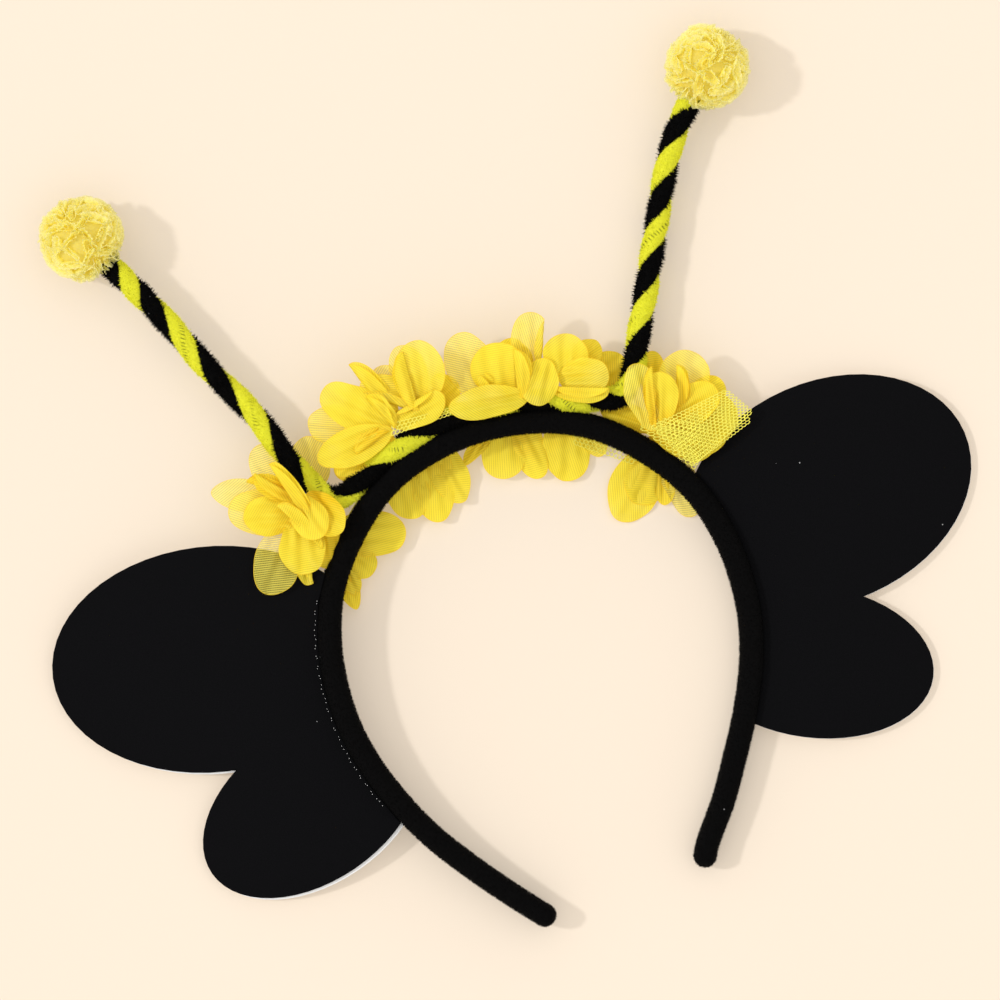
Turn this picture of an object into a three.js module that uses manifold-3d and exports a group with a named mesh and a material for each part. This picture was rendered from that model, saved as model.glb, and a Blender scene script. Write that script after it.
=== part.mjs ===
// A bee antenna headband that lies on its front: a velvet horseshoe band with two-lobed felt wings,
// a row of chiffon flowers round the crown and two twisted chenille antennae with tulle pompoms.
// Millimetres. +X runs across the wings, +Y from the tips to the crown, +Z up from the surface below.
import * as THREE from 'three';
import { mergeVertices } from 'three/addons/utils/BufferGeometryUtils.js';
import Module from 'manifold-3d';

const wasm = await Module();
wasm.setup();

// Fit between pieces that touch
const CLEARANCE = 0.3;

// Headband
const HEAD_HALF_WIDTH = 61.75;
const BAND_THICKNESS = 6.7;
const BAND_HEIGHT = 10.5;
const BAND_SIDES = 10;
const BAND_STEPS = 34;
const BAND_SQUARENESS = 2.6;

// How the band lies: its right tip touches the surface, and these points of its underside are raised
const CROWN_LIFT = 7;
const LEFT_TIP_LIFT = 1.8;

// Inner edge of the band: directions from the middle of the head, up from its sides, in degrees, and
// how far out the edge is there, in shares of HEAD_HALF_WIDTH
const BAND_EDGE = [
  { direction: 60, left: 0.972, right: 0.972 },
  { direction: 30, left: 0.98, right: 0.98 },
  { direction: 10, left: 0.99, right: 0.99 },
  { direction: -10, left: 1.012, right: 1.012 },
  { direction: -25, left: 1.042, right: 1.042 },
  { direction: -40, left: 1.092, right: 1.092 },
  { direction: -50, left: 1.145, right: 1.15 },
  { direction: -60, left: 1.215, right: 1.247 },
  { direction: -70, left: 1.321, right: 1.38 },
];
const CROWN_REACH = 0.958;
const BAND_TIP = {
  left: { direction: -78.9, reach: 1.46 },
  right: { direction: -72.8, reach: 1.459 },
};
// How a tip rounds off: along in shares of half the band's thickness, scale of the section there
const BAND_TIP_RINGS = [
  { along: 0, scale: 0.3 },
  { along: 0.12, scale: 0.475 },
  { along: 0.4, scale: 0.8 },
  { along: 1, scale: 1 },
];

// Wings: a felt sheet over a backing sheet, fixed to the band's outer face
const FELT_THICKNESS = 1.1;
const BACKING_THICKNESS = 1.2;
const WING_SEAT = 4;
const WING_LENGTH = 100;
// Lobes as ellipses, in shares of WING_LENGTH from the middle of the head: outward, towards the
// crown, half-length and half-breadth, and the turn of the long axis in degrees
const WING_LOBES = {
  left: [
    { out: 1.004, up: 0.166, length: 0.506, breadth: 0.354, turn: 8.4 },
    { out: 0.828, up: -0.356, length: 0.383, breadth: 0.239, turn: -19.2 },
  ],
  right: [
    { out: 0.988, up: 0.148, length: 0.466, breadth: 0.345, turn: 7.6 },
    { out: 0.799, up: -0.35, length: 0.38, breadth: 0.237, turn: -23.2 },
  ],
};
const LOBE_STEPS = 28;
const LEAN_PASSES = 4;

// Chenille stems: two strands twisted round one route, which runs from pompom to pompom
const STRAND_RADIUS = 1.45;
const STRAND_GAP = 0.5;
const STEM_RADIUS = 2 * STRAND_RADIUS + STRAND_GAP / 2;
const STRAND_SIDES = 6;
const ENVELOPE_SIDES = 8;
const ENVELOPE_STEPS = 54;
const STEM_SEAT = 7.4;
const STEM_STEPS = 82;
// Where the stem pair meets and leaves the crown, in shares of the band's length from its left tip
const STEM_ON_CROWN = { left: 0.402, right: 0.591, steps: 6 };
const LEFT_ANTENNA_LENGTH = 115.5;
const RIGHT_ANTENNA_LENGTH = 111;
// Each antenna: its length in plan to the pompom's middle, its direction in degrees from +X, and
// rows of shares of that length: how far along, how far it bows outwards, how high over the surface.
// Its end goes into the pompom's socket
const ANTENNAE = {
  left: {
    reach: LEFT_ANTENNA_LENGTH,
    direction: 120.4,
    rows: [
      { along: 0.021, bow: 0.029, height: 0.136 },
      { along: 0.09, bow: 0.047, height: 0.122 },
      { along: 0.19, bow: 0.041, height: 0.112 },
      { along: 0.33, bow: 0.02, height: 0.105 },
      { along: 0.49, bow: 0.017, height: 0.103 },
      { along: 0.73, bow: 0, height: 0.102 },
    ],
  },
  right: {
    reach: RIGHT_ANTENNA_LENGTH,
    direction: 55.4,
    rows: [
      { along: 0.048, bow: 0.066, height: 0.112 },
      { along: 0.103, bow: 0.082, height: 0.1 },
      { along: 0.2, bow: 0.068, height: 0.086 },
      { along: 0.31, bow: 0.049, height: 0.074 },
      { along: 0.46, bow: 0.024, height: 0.07 },
      { along: 0.64, bow: -0.007, height: 0.073 },
      { along: 0.79, bow: -0.023, height: 0.083 },
    ],
  },
};
// The black strand lies on top at these shares of the route, once for each turn of the twist
const BLACK_ON_TOP = [
  -0.06, 0.01, 0.07, 0.171, 0.283, 0.382, 0.479, 0.573, 0.652, 0.725, 0.807, 0.885, 0.963, 1.04,
];

// Pompoms: gathered ruffles round a core, threaded on the stem ends. The core's radius and the
// ruffles' inner edge are shares of POMPOM_RADIUS
const POMPOM_RADIUS = 13.5;
const POMPOM_SOCKET_DEPTH = 5;
const POMPOM_SOCKET_PLAY = 0.7;
const POMPOM_TURN = { left: 40, right: 115 };
const POMPOM_CORE = 0.8;
const RUFFLE_ROOT = 0.64;
const RUFFLE_THICKNESS = 1.3;
const RUFFLE_STEPS = 13;
// Each ruffle is a wavy ring: how far up the ball it sits, how far it waves and where its first wave
// starts, in degrees, and how many waves it has
const RUFFLES = [
  { up: 54, sway: 15, start: 10, waves: 3 },
  { up: 18, sway: 15, start: 35, waves: 4 },
  { up: -18, sway: 15, start: 62, waves: 4 },
  { up: -54, sway: 15, start: 98, waves: 3 },
];

// Net ribbon that carries the flowers, round the crown's outer face
const RIBBON_THICKNESS = 1;
const RIBBON_WIDTH = 4;
const RIBBON_HEIGHT = -0.1;
const RIBBON_SPAN = { from: 0.362, to: 0.655, steps: 18 };

// Flowers: petals of one size, each a share of it long and broad
const PETAL_LENGTH = 20;
const PETAL_BREADTH = 14;
const PETAL_THICKNESS = 1;
const PETAL_CUP = 0.12;
// A petal is broadest at its belly and narrows from there like two half ellipses, each with its
// middle at the belly and a half-length towards the root or the tip, in shares of the petal's length
const PETAL_BELLY = { at: 0.62, towardsRoot: 0.72, towardsTip: 0.42 };
// How soon a petal bends from its root's height to its tip's: an upper one, an under one, the net flap
const PETAL_BEND = { over: 1.4, under: 4, flap: 5 };
const PETAL_STEPS = 4;
const STALK_RADIUS = 2.2;
const SEAT_HEIGHT = 1.2;
const UNDER_ROOT_HEIGHT = -0.95;
const STALK_HEIGHT = 11;
// Free end of the ribbon: where it leaves the band, in shares of its length, and its tip and its
// heights over the band's underside in shares of PETAL_LENGTH
const RIBBON_FLAP = { at: 0.645, x: 1.4, y: 0.02, breadth: 1.3, root: 0.12, height: 0.56 };
// Each flower sits at a share of the band's length, with its middle offset from there. A petal's tip
// is x and y from that middle, and its root and tip are at heights over the band's underside. A row
// of under petals starts at the seat and passes below the band. All lengths are in shares of
// PETAL_LENGTH, and breadths of PETAL_BREADTH
const FLOWERS = [
  {
    name: 'side_flower_left', seat: 0.3685, x: -0.38, y: 0.675,
    petals: [
      { x: -1.22, y: 0.5, breadth: 0.8, root: 0.3, height: 0.32 },
      { x: -0.32, y: 1.05, breadth: 0.9, root: 0.15, height: 0.15 },
      { x: 0.52, y: 0.95, breadth: 0.9, root: 0.1, height: 0.08 },
      { x: -1.02, y: 0, breadth: 1.15, root: 0.45, height: 0.55 },
      { x: -0.65, y: 0.58, breadth: 0.5, root: 0.5, height: 0.75 },
      { x: -0.2, y: 0.65, breadth: 0.6, root: 0.5, height: 0.8 },
      { x: -0.1, y: -0.5, breadth: 0.7, root: 0.5, height: 0.9 },
      { x: 0.4, y: -0.45, breadth: 0.8, root: 0.5, height: 0.85 },
      { x: -0.2, y: -1.05, breadth: 1.05, root: 0.5, height: 0.62 },
      { x: -0.78, y: -1.2, breadth: 1, root: 0.5, height: 0.45 },
    ],
    under: [
      { x: 0.02, y: -1.16, breadth: 0.5, height: -0.12 },
      { x: 0.2, y: -0.93, breadth: 0.5, height: -0.16 },
      { x: 0.62, y: -0.61, breadth: 0.86, height: -0.16 },
      { x: 1.16, y: -0.23, breadth: 0.86, height: -0.12 },
    ],
  },
  {
    name: 'crown_flower_left', seat: 0.442, x: -0.09, y: 0.43,
    petals: [
      { x: -0.68, y: 0.85, breadth: 1.07, root: 0.4, height: 0.55 },
      { x: -1.02, y: -0.1, breadth: 0.8, root: 0.45, height: 0.6 },
      { x: -1, y: 0.45, breadth: 0.86, root: 0.3, height: 0.25 },
      { x: -0.85, y: -0.4, breadth: 0.64, root: 0.1, height: 0.08 },
    ],
    under: [
      { x: 0.16, y: -1.02, breadth: 0.93, height: -0.2 },
    ],
  },
  {
    name: 'crown_flower_middle_left', seat: 0.4715, x: -0.015, y: 0.4,
    petals: [
      { x: -0.86, y: 0.96, breadth: 0.64, root: 0.4, height: 0.5 },
      { x: -0.5, y: 0.78, breadth: 1.07, root: 0.5, height: 0.65 },
      { x: 0.3, y: 1.05, breadth: 0.93, root: 0.5, height: 0.6 },
      { x: -0.08, y: 1, breadth: 0.7, root: 0.3, height: 0.3 },
      { x: -0.95, y: -0.15, breadth: 0.64, root: 0.5, height: 0.75 },
      { x: 0.45, y: -0.05, breadth: 0.6, root: 0.5, height: 0.65 },
    ],
    under: [
      { x: -0.19, y: -1.42, breadth: 1, height: -0.22 },
      { x: 0.23, y: -1.22, breadth: 0.86, height: -0.16 },
    ],
  },
  {
    name: 'crown_flower_middle_right', seat: 0.5315, x: 0.02, y: 0.45,
    petals: [
      { x: -0.45, y: 0.8, breadth: 0.93, root: 0.3, height: 0.3 },
      { x: -0.08, y: 0.58, breadth: 1.07, root: 0.5, height: 0.68 },
      { x: 0.7, y: 0.8, breadth: 0.8, root: 0.4, height: 0.45 },
      { x: -0.88, y: -0.2, breadth: 0.68, root: 0.55, height: 0.72 },
      { x: 0.55, y: -0.5, breadth: 0.75, root: 0.55, height: 0.68 },
    ],
    under: [
      { x: -0.36, y: -1.12, breadth: 1.14, height: -0.19 },
      { x: 0.17, y: -1.24, breadth: 0.5, height: -0.16 },
      { x: -0.88, y: -0.72, breadth: 0.4, height: -0.2 },
    ],
  },
  {
    name: 'crown_flower_right', seat: 0.575, x: 0, y: 0.575,
    petals: [
      { x: 0.2, y: 0.48, breadth: 0.86, root: 0.45, height: 0.55 },
      { x: 0.55, y: 0.23, breadth: 0.7, root: 0.25, height: 0.3 },
      { x: 0.68, y: -0.23, breadth: 0.86, root: 0.5, height: 0.65 },
      { x: 0.6, y: -0.5, breadth: 0.57, root: 0.5, height: 0.68 },
      { x: 1, y: -0.15, breadth: 0.57, root: 0.1, height: 0.06 },
    ],
    under: [
      { x: -0.28, y: -1.15, breadth: 1.14, height: -0.15 },
      { x: 0.42, y: -1, breadth: 0.9, height: -0.12 },
    ],
  },
  {
    name: 'side_flower_right', seat: 0.645, x: 0.105, y: 0.53,
    petals: [
      { x: -0.28, y: 0.68, breadth: 0.64, root: 0.6, height: 0.75 },
      { x: 0.05, y: 0.63, breadth: 0.6, root: 0.6, height: 0.85 },
      { x: 0.7, y: 0.63, breadth: 0.8, root: 0.4, height: 0.45 },
      { x: 0.83, y: 0.05, breadth: 0.7, root: 0.5, height: 0.6 },
      { x: 1.05, y: -0.45, breadth: 1, root: 0.45, height: 0.42 },
      { x: 0.35, y: -0.85, breadth: 0.8, root: 0.45, height: 0.5 },
      { x: 0.08, y: 0.93, breadth: 0.64, root: 0.1, height: 0.06 },
    ],
    under: [
      { x: -0.95, y: -1, breadth: 1.07, height: -0.115 },
      { x: 0.05, y: -1.26, breadth: 0.64, height: -0.05 },
      { x: -0.3, y: -0.97, breadth: 0.6, height: -0.06 },
    ],
  },
];

// Finishes
const velvet = new THREE.MeshStandardMaterial({ color: 0x0c0b0c, roughness: 0.95, metalness: 0 });
const felt = new THREE.MeshStandardMaterial({ color: 0x111114, roughness: 0.92, metalness: 0 });
const foam = new THREE.MeshStandardMaterial({ color: 0xe8e8ea, roughness: 0.85, metalness: 0 });
const blackChenille = new THREE.MeshStandardMaterial({ color: 0x0a0a0a, roughness: 0.95, metalness: 0 });
const yellowChenille = new THREE.MeshStandardMaterial({ color: 0xe6e628, roughness: 0.9, metalness: 0 });
const tulle = new THREE.MeshStandardMaterial({ color: 0xf3dd74, roughness: 0.8, metalness: 0 });
const chiffon = new THREE.MeshStandardMaterial({ color: 0xf7d92f, roughness: 0.7, metalness: 0 });

const UP = new THREE.Vector3(0, 0, 1);
const radians = THREE.MathUtils.degToRad;
const vector = (x, y, z = 0) => new THREE.Vector3(x, y, z);

// Solids: a geometry whose shared points are merged becomes one body to join or cut, and back
function toSolid(geometry) {
  const bare = new THREE.BufferGeometry();
  bare.setAttribute('position', geometry.getAttribute('position').clone());
  bare.setIndex(geometry.index);
  const merged = mergeVertices(bare, 1e-4);
  return new wasm.Manifold(new wasm.Mesh({
    numProp: 3,
    vertProperties: new Float32Array(merged.attributes.position.array),
    triVerts: new Uint32Array(merged.index.array),
  }));
}

function toGeometry(solid) {
  const mesh = solid.getMesh();
  const geometry = new THREE.BufferGeometry();
  geometry.setAttribute('position', new THREE.BufferAttribute(mesh.vertProperties, 3));
  geometry.setIndex(new THREE.BufferAttribute(mesh.triVerts, 1));
  const flat = geometry.toNonIndexed();
  flat.computeVertexNormals();
  return flat;
}

const joinAll = (solids) => solids.reduce((whole, solid) => whole.add(solid));

// Of a body that a cut left in several pieces, the largest
function largestPiece(solid) {
  const pieces = solid.decompose();
  return pieces.reduce((best, piece) => (piece.volume() > best.volume() ? piece : best));
}

// A closed body through rings of equally many points, with each end closed to its ring's middle
function loft(rings) {
  const sides = rings[0].length;
  const points = rings.flat();
  const triangles = [];
  for (let ring = 0; ring < rings.length - 1; ring++) {
    for (let side = 0; side < sides; side++) {
      const a = ring * sides + side;
      const b = ring * sides + (side + 1) % sides;
      triangles.push(a, b, b + sides, a, b + sides, a + sides);
    }
  }
  for (const end of [0, rings.length - 1]) {
    const middle = points.length;
    points.push(rings[end].reduce((sum, p) => sum.add(p), vector(0, 0)).divideScalar(sides));
    for (let side = 0; side < sides; side++) {
      const a = end * sides + side;
      const b = end * sides + (side + 1) % sides;
      triangles.push(...(end === 0 ? [b, a, middle] : [a, b, middle]));
    }
  }
  const geometry = new THREE.BufferGeometry().setFromPoints(points);
  geometry.setIndex(triangles);
  return geometry;
}

// A ring round a point of a path: section points are [across, up] pairs in the plane square to the way on
function ringAround(point, tangent, section, scale = 1) {
  const across = new THREE.Vector3().crossVectors(tangent, UP).normalize();
  const up = new THREE.Vector3().crossVectors(across, tangent).normalize();
  return section.map(([a, u]) => point.clone()
    .addScaledVector(across, a * scale)
    .addScaledVector(up, u * scale));
}

// Section of half sizes a and b, from an ellipse at squareness 2 towards a rectangle above it
function roundedSection(a, b, sides, squareness = 2) {
  const bulge = (value) => Math.sign(value) * Math.abs(value) ** (2 / squareness);
  return Array.from({ length: sides }, (_, side) => {
    const turn = -2 * Math.PI * (side + 0.5) / sides;
    return [a * bulge(Math.cos(turn)), b * bulge(Math.sin(turn))];
  });
}

// Plan of the band: the inner edge from the left tip over the crown to the right tip, as one curve.
// A tip closes in a half-round of its own beyond the last full section
function edgePoint(side, direction, reach) {
  const turn = radians(direction);
  const out = reach * HEAD_HALF_WIDTH;
  return vector((side === 'left' ? -1 : 1) * out * Math.cos(turn), out * Math.sin(turn));
}

function bandEdgeCurve() {
  const sidePoints = (side) => [
    ...BAND_EDGE.map((row) => edgePoint(side, row.direction, row[side])),
    edgePoint(side, BAND_TIP[side].direction, BAND_TIP[side].reach),
  ];
  const crown = vector(0, CROWN_REACH * HEAD_HALF_WIDTH);
  const points = [...sidePoints('left').reverse(), crown, ...sidePoints('right')];
  const curve = new THREE.CatmullRomCurve3(points, false, 'centripetal');
  curve.arcLengthDivisions = 600;
  return curve;
}

const bandEdge = bandEdgeCurve();

// A place on the band: a share of its length, how far out from the inner edge, how high over the underside
function onBand(share, out, height) {
  const point = bandEdge.getPointAt(share);
  const tangent = bandEdge.getTangentAt(share);
  const outward = new THREE.Vector3().crossVectors(UP, tangent).normalize();
  return point.addScaledVector(outward, out).setZ(height);
}

// The band's underside is a plane through the two tips and the crown. Everything on the band is
// modelled over that plane in one leaning group, and what touches the surface is measured from it
function leaningGroup() {
  const middle = BAND_THICKNESS / 2;
  const rightTip = onBand(1, middle, 0);
  const leftTip = onBand(0, middle, LEFT_TIP_LIFT);
  const crown = onBand(0.5, middle, CROWN_LIFT);
  const plane = new THREE.Plane().setFromCoplanarPoints(crown, leftTip, rightTip);
  const group = new THREE.Group();
  group.quaternion.setFromUnitVectors(UP, plane.normal);
  group.position.copy(plane.normal).multiplyScalar(-plane.constant);
  group.updateMatrixWorld(true);
  return group;
}

const leaning = leaningGroup();

// A place in the leaning group that lies at x, y and a height over the surface
function overSurface(x, y, height) {
  return leaning.worldToLocal(vector(x, y, height));
}

// Band, with a half-round tip at each end; grown makes the space that its neighbours keep clear of
function bandGeometry(grown = 0) {
  const section = roundedSection(
    BAND_THICKNESS / 2 + grown, BAND_HEIGHT / 2 + grown, BAND_SIDES, BAND_SQUARENESS);
  const tipShare = BAND_THICKNESS / 2 / bandEdge.getLength();
  const start = BAND_TIP_RINGS.map(({ along, scale }) => ({ share: along * tipShare, scale }));
  const body = Array.from({ length: BAND_STEPS - 1 }, (_, step) => ({
    share: tipShare + (1 - 2 * tipShare) * (step + 1) / BAND_STEPS,
    scale: 1,
  }));
  const end = start.map(({ share, scale }) => ({ share: 1 - share, scale })).reverse();
  return loft([...start, ...body, ...end].map(({ share, scale }) => ringAround(
    onBand(share, BAND_THICKNESS / 2, BAND_HEIGHT / 2), bandEdge.getTangentAt(share), section, scale)));
}

// Everything inside the band's outer edge, as a prism that cuts the wings to meet the band
function insideOfBand(clearance, low, high) {
  const outline = new THREE.Shape(Array.from({ length: BAND_STEPS + 1 }, (_, step) => {
    const point = onBand(step / BAND_STEPS, BAND_THICKNESS + clearance, 0);
    return new THREE.Vector2(point.x, point.y);
  }));
  const prism = new THREE.ExtrudeGeometry(outline, { depth: high - low, bevelEnabled: false });
  return toSolid(prism.translate(0, 0, low));
}

// Wings
function wingSheet(side, low, high, grown = 0) {
  const sign = side === 'left' ? -1 : 1;
  const lobes = WING_LOBES[side].map((lobe) => {
    const shape = new THREE.Shape();
    shape.absellipse(
      sign * lobe.out * WING_LENGTH, lobe.up * WING_LENGTH,
      lobe.length * WING_LENGTH + grown, lobe.breadth * WING_LENGTH + grown,
      0, 2 * Math.PI, false, sign * radians(lobe.turn));
    const geometry = new THREE.ExtrudeGeometry(
      shape, { depth: high - low, bevelEnabled: false, curveSegments: LOBE_STEPS });
    return toSolid(geometry.translate(0, 0, low));
  });
  const margin = 1;
  const cutter = insideOfBand(CLEARANCE, low - margin, high + margin);
  return largestPiece(joinAll(lobes).subtract(cutter));
}

// The point of a lobe that lies farthest in a direction in plan
function lobeEnd(lobe, sign, way) {
  const turn = sign * radians(lobe.turn);
  const long = vector(Math.cos(turn), Math.sin(turn)).multiplyScalar(lobe.length * WING_LENGTH);
  const broad = vector(-Math.sin(turn), Math.cos(turn)).multiplyScalar(lobe.breadth * WING_LENGTH);
  const [l, b] = [long.dot(way), broad.dot(way)];
  const size = Math.hypot(l, b);
  return vector(sign * lobe.out * WING_LENGTH, lobe.up * WING_LENGTH)
    .addScaledVector(long, l / size)
    .addScaledVector(broad, b / size);
}

// A wing leans from its seat on the band until both its lobes touch the surface. Which points of
// the lobes touch depends on the lean, so the two are found in turn
function wingGroup(side) {
  const sign = side === 'left' ? -1 : 1;
  const root = onBand(side === 'left' ? 0.3 : 0.7, BAND_THICKNESS, 0);
  const seat = vector(root.x, 0, WING_SEAT);
  const plane = new THREE.Plane();
  let downhill = vector(sign, 0);
  for (let pass = 0; pass < LEAN_PASSES; pass++) {
    const [upper, lower] = WING_LOBES[side].map((lobe) => {
      const end = lobeEnd(lobe, sign, downhill);
      return overSurface(end.x, end.y, 0);
    });
    plane.setFromCoplanarPoints(seat, upper, lower);
    if (plane.normal.z < 0) plane.negate();
    downhill = plane.normal.clone().transformDirection(leaning.matrixWorld).setZ(0).normalize();
  }
  const group = new THREE.Group();
  group.quaternion.setFromUnitVectors(UP, plane.normal);
  const pivot = vector(seat.x, 0);
  group.position.copy(seat).sub(pivot.applyQuaternion(group.quaternion));
  return group;
}

// Stems: one route for both strands, and a strand that winds round it
function stemRoute() {
  const out = BAND_THICKNESS + CLEARANCE + STEM_RADIUS;
  const crown = Array.from({ length: STEM_ON_CROWN.steps + 1 }, (_, step) => {
    const share = THREE.MathUtils.lerp(STEM_ON_CROWN.left, STEM_ON_CROWN.right, step / STEM_ON_CROWN.steps);
    return onBand(share, out, STEM_SEAT);
  });
  const antenna = (side, base) => {
    const { reach, direction, rows } = ANTENNAE[side];
    const way = vector(Math.cos(radians(direction)), Math.sin(radians(direction)));
    const outward = side === 'left' ? vector(-way.y, way.x) : vector(way.y, -way.x);
    const points = rows.map(({ along, bow, height }) => {
      const plan = base.clone().addScaledVector(way, along * reach).addScaledVector(outward, bow * reach);
      return overSurface(plan.x, plan.y, height * reach);
    });
    const middle = base.clone().addScaledVector(way, reach);
    const pompom = overSurface(middle.x, middle.y, POMPOM_RADIUS);
    const last = points[points.length - 1];
    const seated = pompom.distanceTo(last) - POMPOM_RADIUS + POMPOM_SOCKET_DEPTH;
    points.push(last.clone().addScaledVector(pompom.clone().sub(last).normalize(), seated));
    return { points, pompom };
  };
  const left = antenna('left', crown[0]);
  const right = antenna('right', crown[crown.length - 1]);
  const curve = new THREE.CatmullRomCurve3(
    [...left.points.reverse(), ...crown.slice(1, -1), ...right.points], false, 'centripetal');
  curve.arcLengthDivisions = 800;
  return { stem: curve, pompomCentres: { left: left.pompom, right: right.pompom } };
}

const { stem, pompomCentres } = stemRoute();

// Where along its turns the twist is at a share of the route
function turnsAt(share) {
  let turn = 0;
  while (turn < BLACK_ON_TOP.length - 2 && share > BLACK_ON_TOP[turn + 1]) turn += 1;
  return turn + (share - BLACK_ON_TOP[turn]) / (BLACK_ON_TOP[turn + 1] - BLACK_ON_TOP[turn]);
}

function strandGeometry(phase) {
  const offset = STEM_RADIUS - STRAND_RADIUS;
  const shares = Array.from({ length: STEM_STEPS + 1 }, (_, step) => step / STEM_STEPS);
  const centres = shares.map((share) => {
    const turn = 2 * Math.PI * (turnsAt(share) + phase);
    const around = [offset * Math.sin(turn), offset * Math.cos(turn)];
    return ringAround(stem.getPointAt(share), stem.getTangentAt(share), [around])[0];
  });
  const strand = new THREE.CatmullRomCurve3(centres, false, 'centripetal');
  const section = roundedSection(STRAND_RADIUS, STRAND_RADIUS, STRAND_SIDES);
  return loft(centres.map((centre, step) => ringAround(
    centre, strand.getTangent(step / STEM_STEPS), section)));
}

// The space round the stem pair that petals and pompoms keep clear of, a little longer than the pair
function stemEnvelope() {
  const radius = (STEM_RADIUS + CLEARANCE) / Math.cos(Math.PI / ENVELOPE_SIDES);
  const section = roundedSection(radius, radius, ENVELOPE_SIDES);
  const rings = Array.from({ length: ENVELOPE_STEPS + 1 }, (_, step) => {
    const share = step / ENVELOPE_STEPS;
    const tangent = stem.getTangentAt(share);
    const beyond = { 0: -3 * CLEARANCE, 1: 3 * CLEARANCE }[share] ?? 0;
    return ringAround(stem.getPointAt(share).addScaledVector(tangent, beyond), tangent, section);
  });
  return loft(rings);
}

// Pompoms
function ruffle({ up, sway, start, waves }) {
  const inner = RUFFLE_ROOT * POMPOM_RADIUS;
  const corners = [
    [inner, -1], [POMPOM_RADIUS, -1], [POMPOM_RADIUS, 1], [inner, 1],
  ];
  const points = [];
  for (let step = 0; step < RUFFLE_STEPS; step++) {
    const turn = 2 * Math.PI * step / RUFFLE_STEPS + radians(start);
    const lift = radians(up + sway * Math.sin(waves * (turn - radians(start))));
    for (const [radius, half] of corners) {
      const tilt = lift + half * RUFFLE_THICKNESS / 2 / POMPOM_RADIUS;
      points.push(vector(
        radius * Math.cos(tilt) * Math.cos(turn),
        radius * Math.cos(tilt) * Math.sin(turn),
        radius * Math.sin(tilt)));
    }
  }
  const triangles = [];
  for (let step = 0; step < RUFFLE_STEPS; step++) {
    const here = 4 * step;
    const next = 4 * ((step + 1) % RUFFLE_STEPS);
    for (let side = 0; side < 4; side++) {
      const far = (side + 1) % 4;
      triangles.push(here + side, next + side, next + far, here + side, next + far, here + far);
    }
  }
  const geometry = new THREE.BufferGeometry().setFromPoints(points);
  geometry.setIndex(triangles);
  return toSolid(geometry);
}

// A ball of ruffles round its own middle, with a socket that the stem's end goes into
function pompomGeometry(side) {
  const end = side === 'left' ? 0 : 1;
  const centre = pompomCentres[side];
  const inward = centre.clone().sub(stem.getPointAt(end)).normalize();
  const radius = (STEM_RADIUS + POMPOM_SOCKET_PLAY) / Math.cos(Math.PI / ENVELOPE_SIDES);
  const depth = POMPOM_SOCKET_DEPTH + POMPOM_SOCKET_PLAY;
  const socket = new THREE.CylinderGeometry(radius, radius, POMPOM_RADIUS, ENVELOPE_SIDES)
    .translate(0, depth - POMPOM_RADIUS / 2, 0)
    .applyQuaternion(new THREE.Quaternion().setFromUnitVectors(vector(0, 1), inward))
    .translate(...inward.clone().multiplyScalar(-POMPOM_RADIUS).toArray());
  const core = toSolid(new THREE.IcosahedronGeometry(POMPOM_CORE * POMPOM_RADIUS, 1));
  const ball = joinAll([core, ...RUFFLES.map(ruffle)]).rotate([0, 0, POMPOM_TURN[side]]);
  return toGeometry(largestPiece(ball.subtract(toSolid(socket))));
}

// Petals: a sheet from root to tip that widens and rounds off, cupped across its breadth
function petalGeometry({ root, tip, breadth, bend, cup }, grown = 0) {
  const way = vector(tip.x - root.x, tip.y - root.y).normalize();
  const side = new THREE.Vector3().crossVectors(UP, way);
  const half = PETAL_THICKNESS / 2 + grown;
  const rings = [];
  for (let step = 0; step <= PETAL_STEPS; step++) {
    const along = Math.sin(step / PETAL_STEPS * Math.PI / 2);
    const tail = along > PETAL_BELLY.at ? PETAL_BELLY.towardsTip : PETAL_BELLY.towardsRoot;
    const width = breadth / 2 * Math.sqrt(1 - ((along - PETAL_BELLY.at) / tail) ** 2) + grown;
    const height = THREE.MathUtils.lerp(tip.z, root.z, (1 - along) ** bend);
    const middle = vector(
      THREE.MathUtils.lerp(root.x, tip.x, along), THREE.MathUtils.lerp(root.y, tip.y, along), height);
    const edge = cup * width;
    rings.push([[1, edge + half], [0, half], [-1, edge + half], [-1, edge - half], [0, -half], [1, edge - half]]
      .map(([across, rise]) => middle.clone().addScaledVector(side, across * width).setZ(height + rise)));
  }
  return loft(rings);
}

const sized = (share) => share * PETAL_LENGTH;

function flowerPetals(flower) {
  const seat = onBand(flower.seat, flowerSeatOut(), SEAT_HEIGHT);
  const middle = vector(seat.x + sized(flower.x), seat.y + sized(flower.y));
  const over = flower.petals.map((petal) => ({
    root: middle.clone().setZ(sized(petal.root)),
    tip: vector(middle.x + sized(petal.x), middle.y + sized(petal.y), sized(petal.height)),
    breadth: petal.breadth * PETAL_BREADTH,
    bend: PETAL_BEND.over,
    cup: PETAL_CUP,
  }));
  const under = flower.under.map((petal) => ({
    root: seat.clone().setZ(UNDER_ROOT_HEIGHT),
    tip: vector(seat.x + sized(petal.x), seat.y + sized(petal.y), sized(petal.height)),
    breadth: petal.breadth * PETAL_BREADTH,
    bend: PETAL_BEND.under,
    cup: -PETAL_CUP,
  }));
  return { seat, middle, petals: [...over, ...under] };
}

function flowerSeatOut() {
  return BAND_THICKNESS + 2 * CLEARANCE + RIBBON_THICKNESS + STALK_RADIUS;
}

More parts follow.
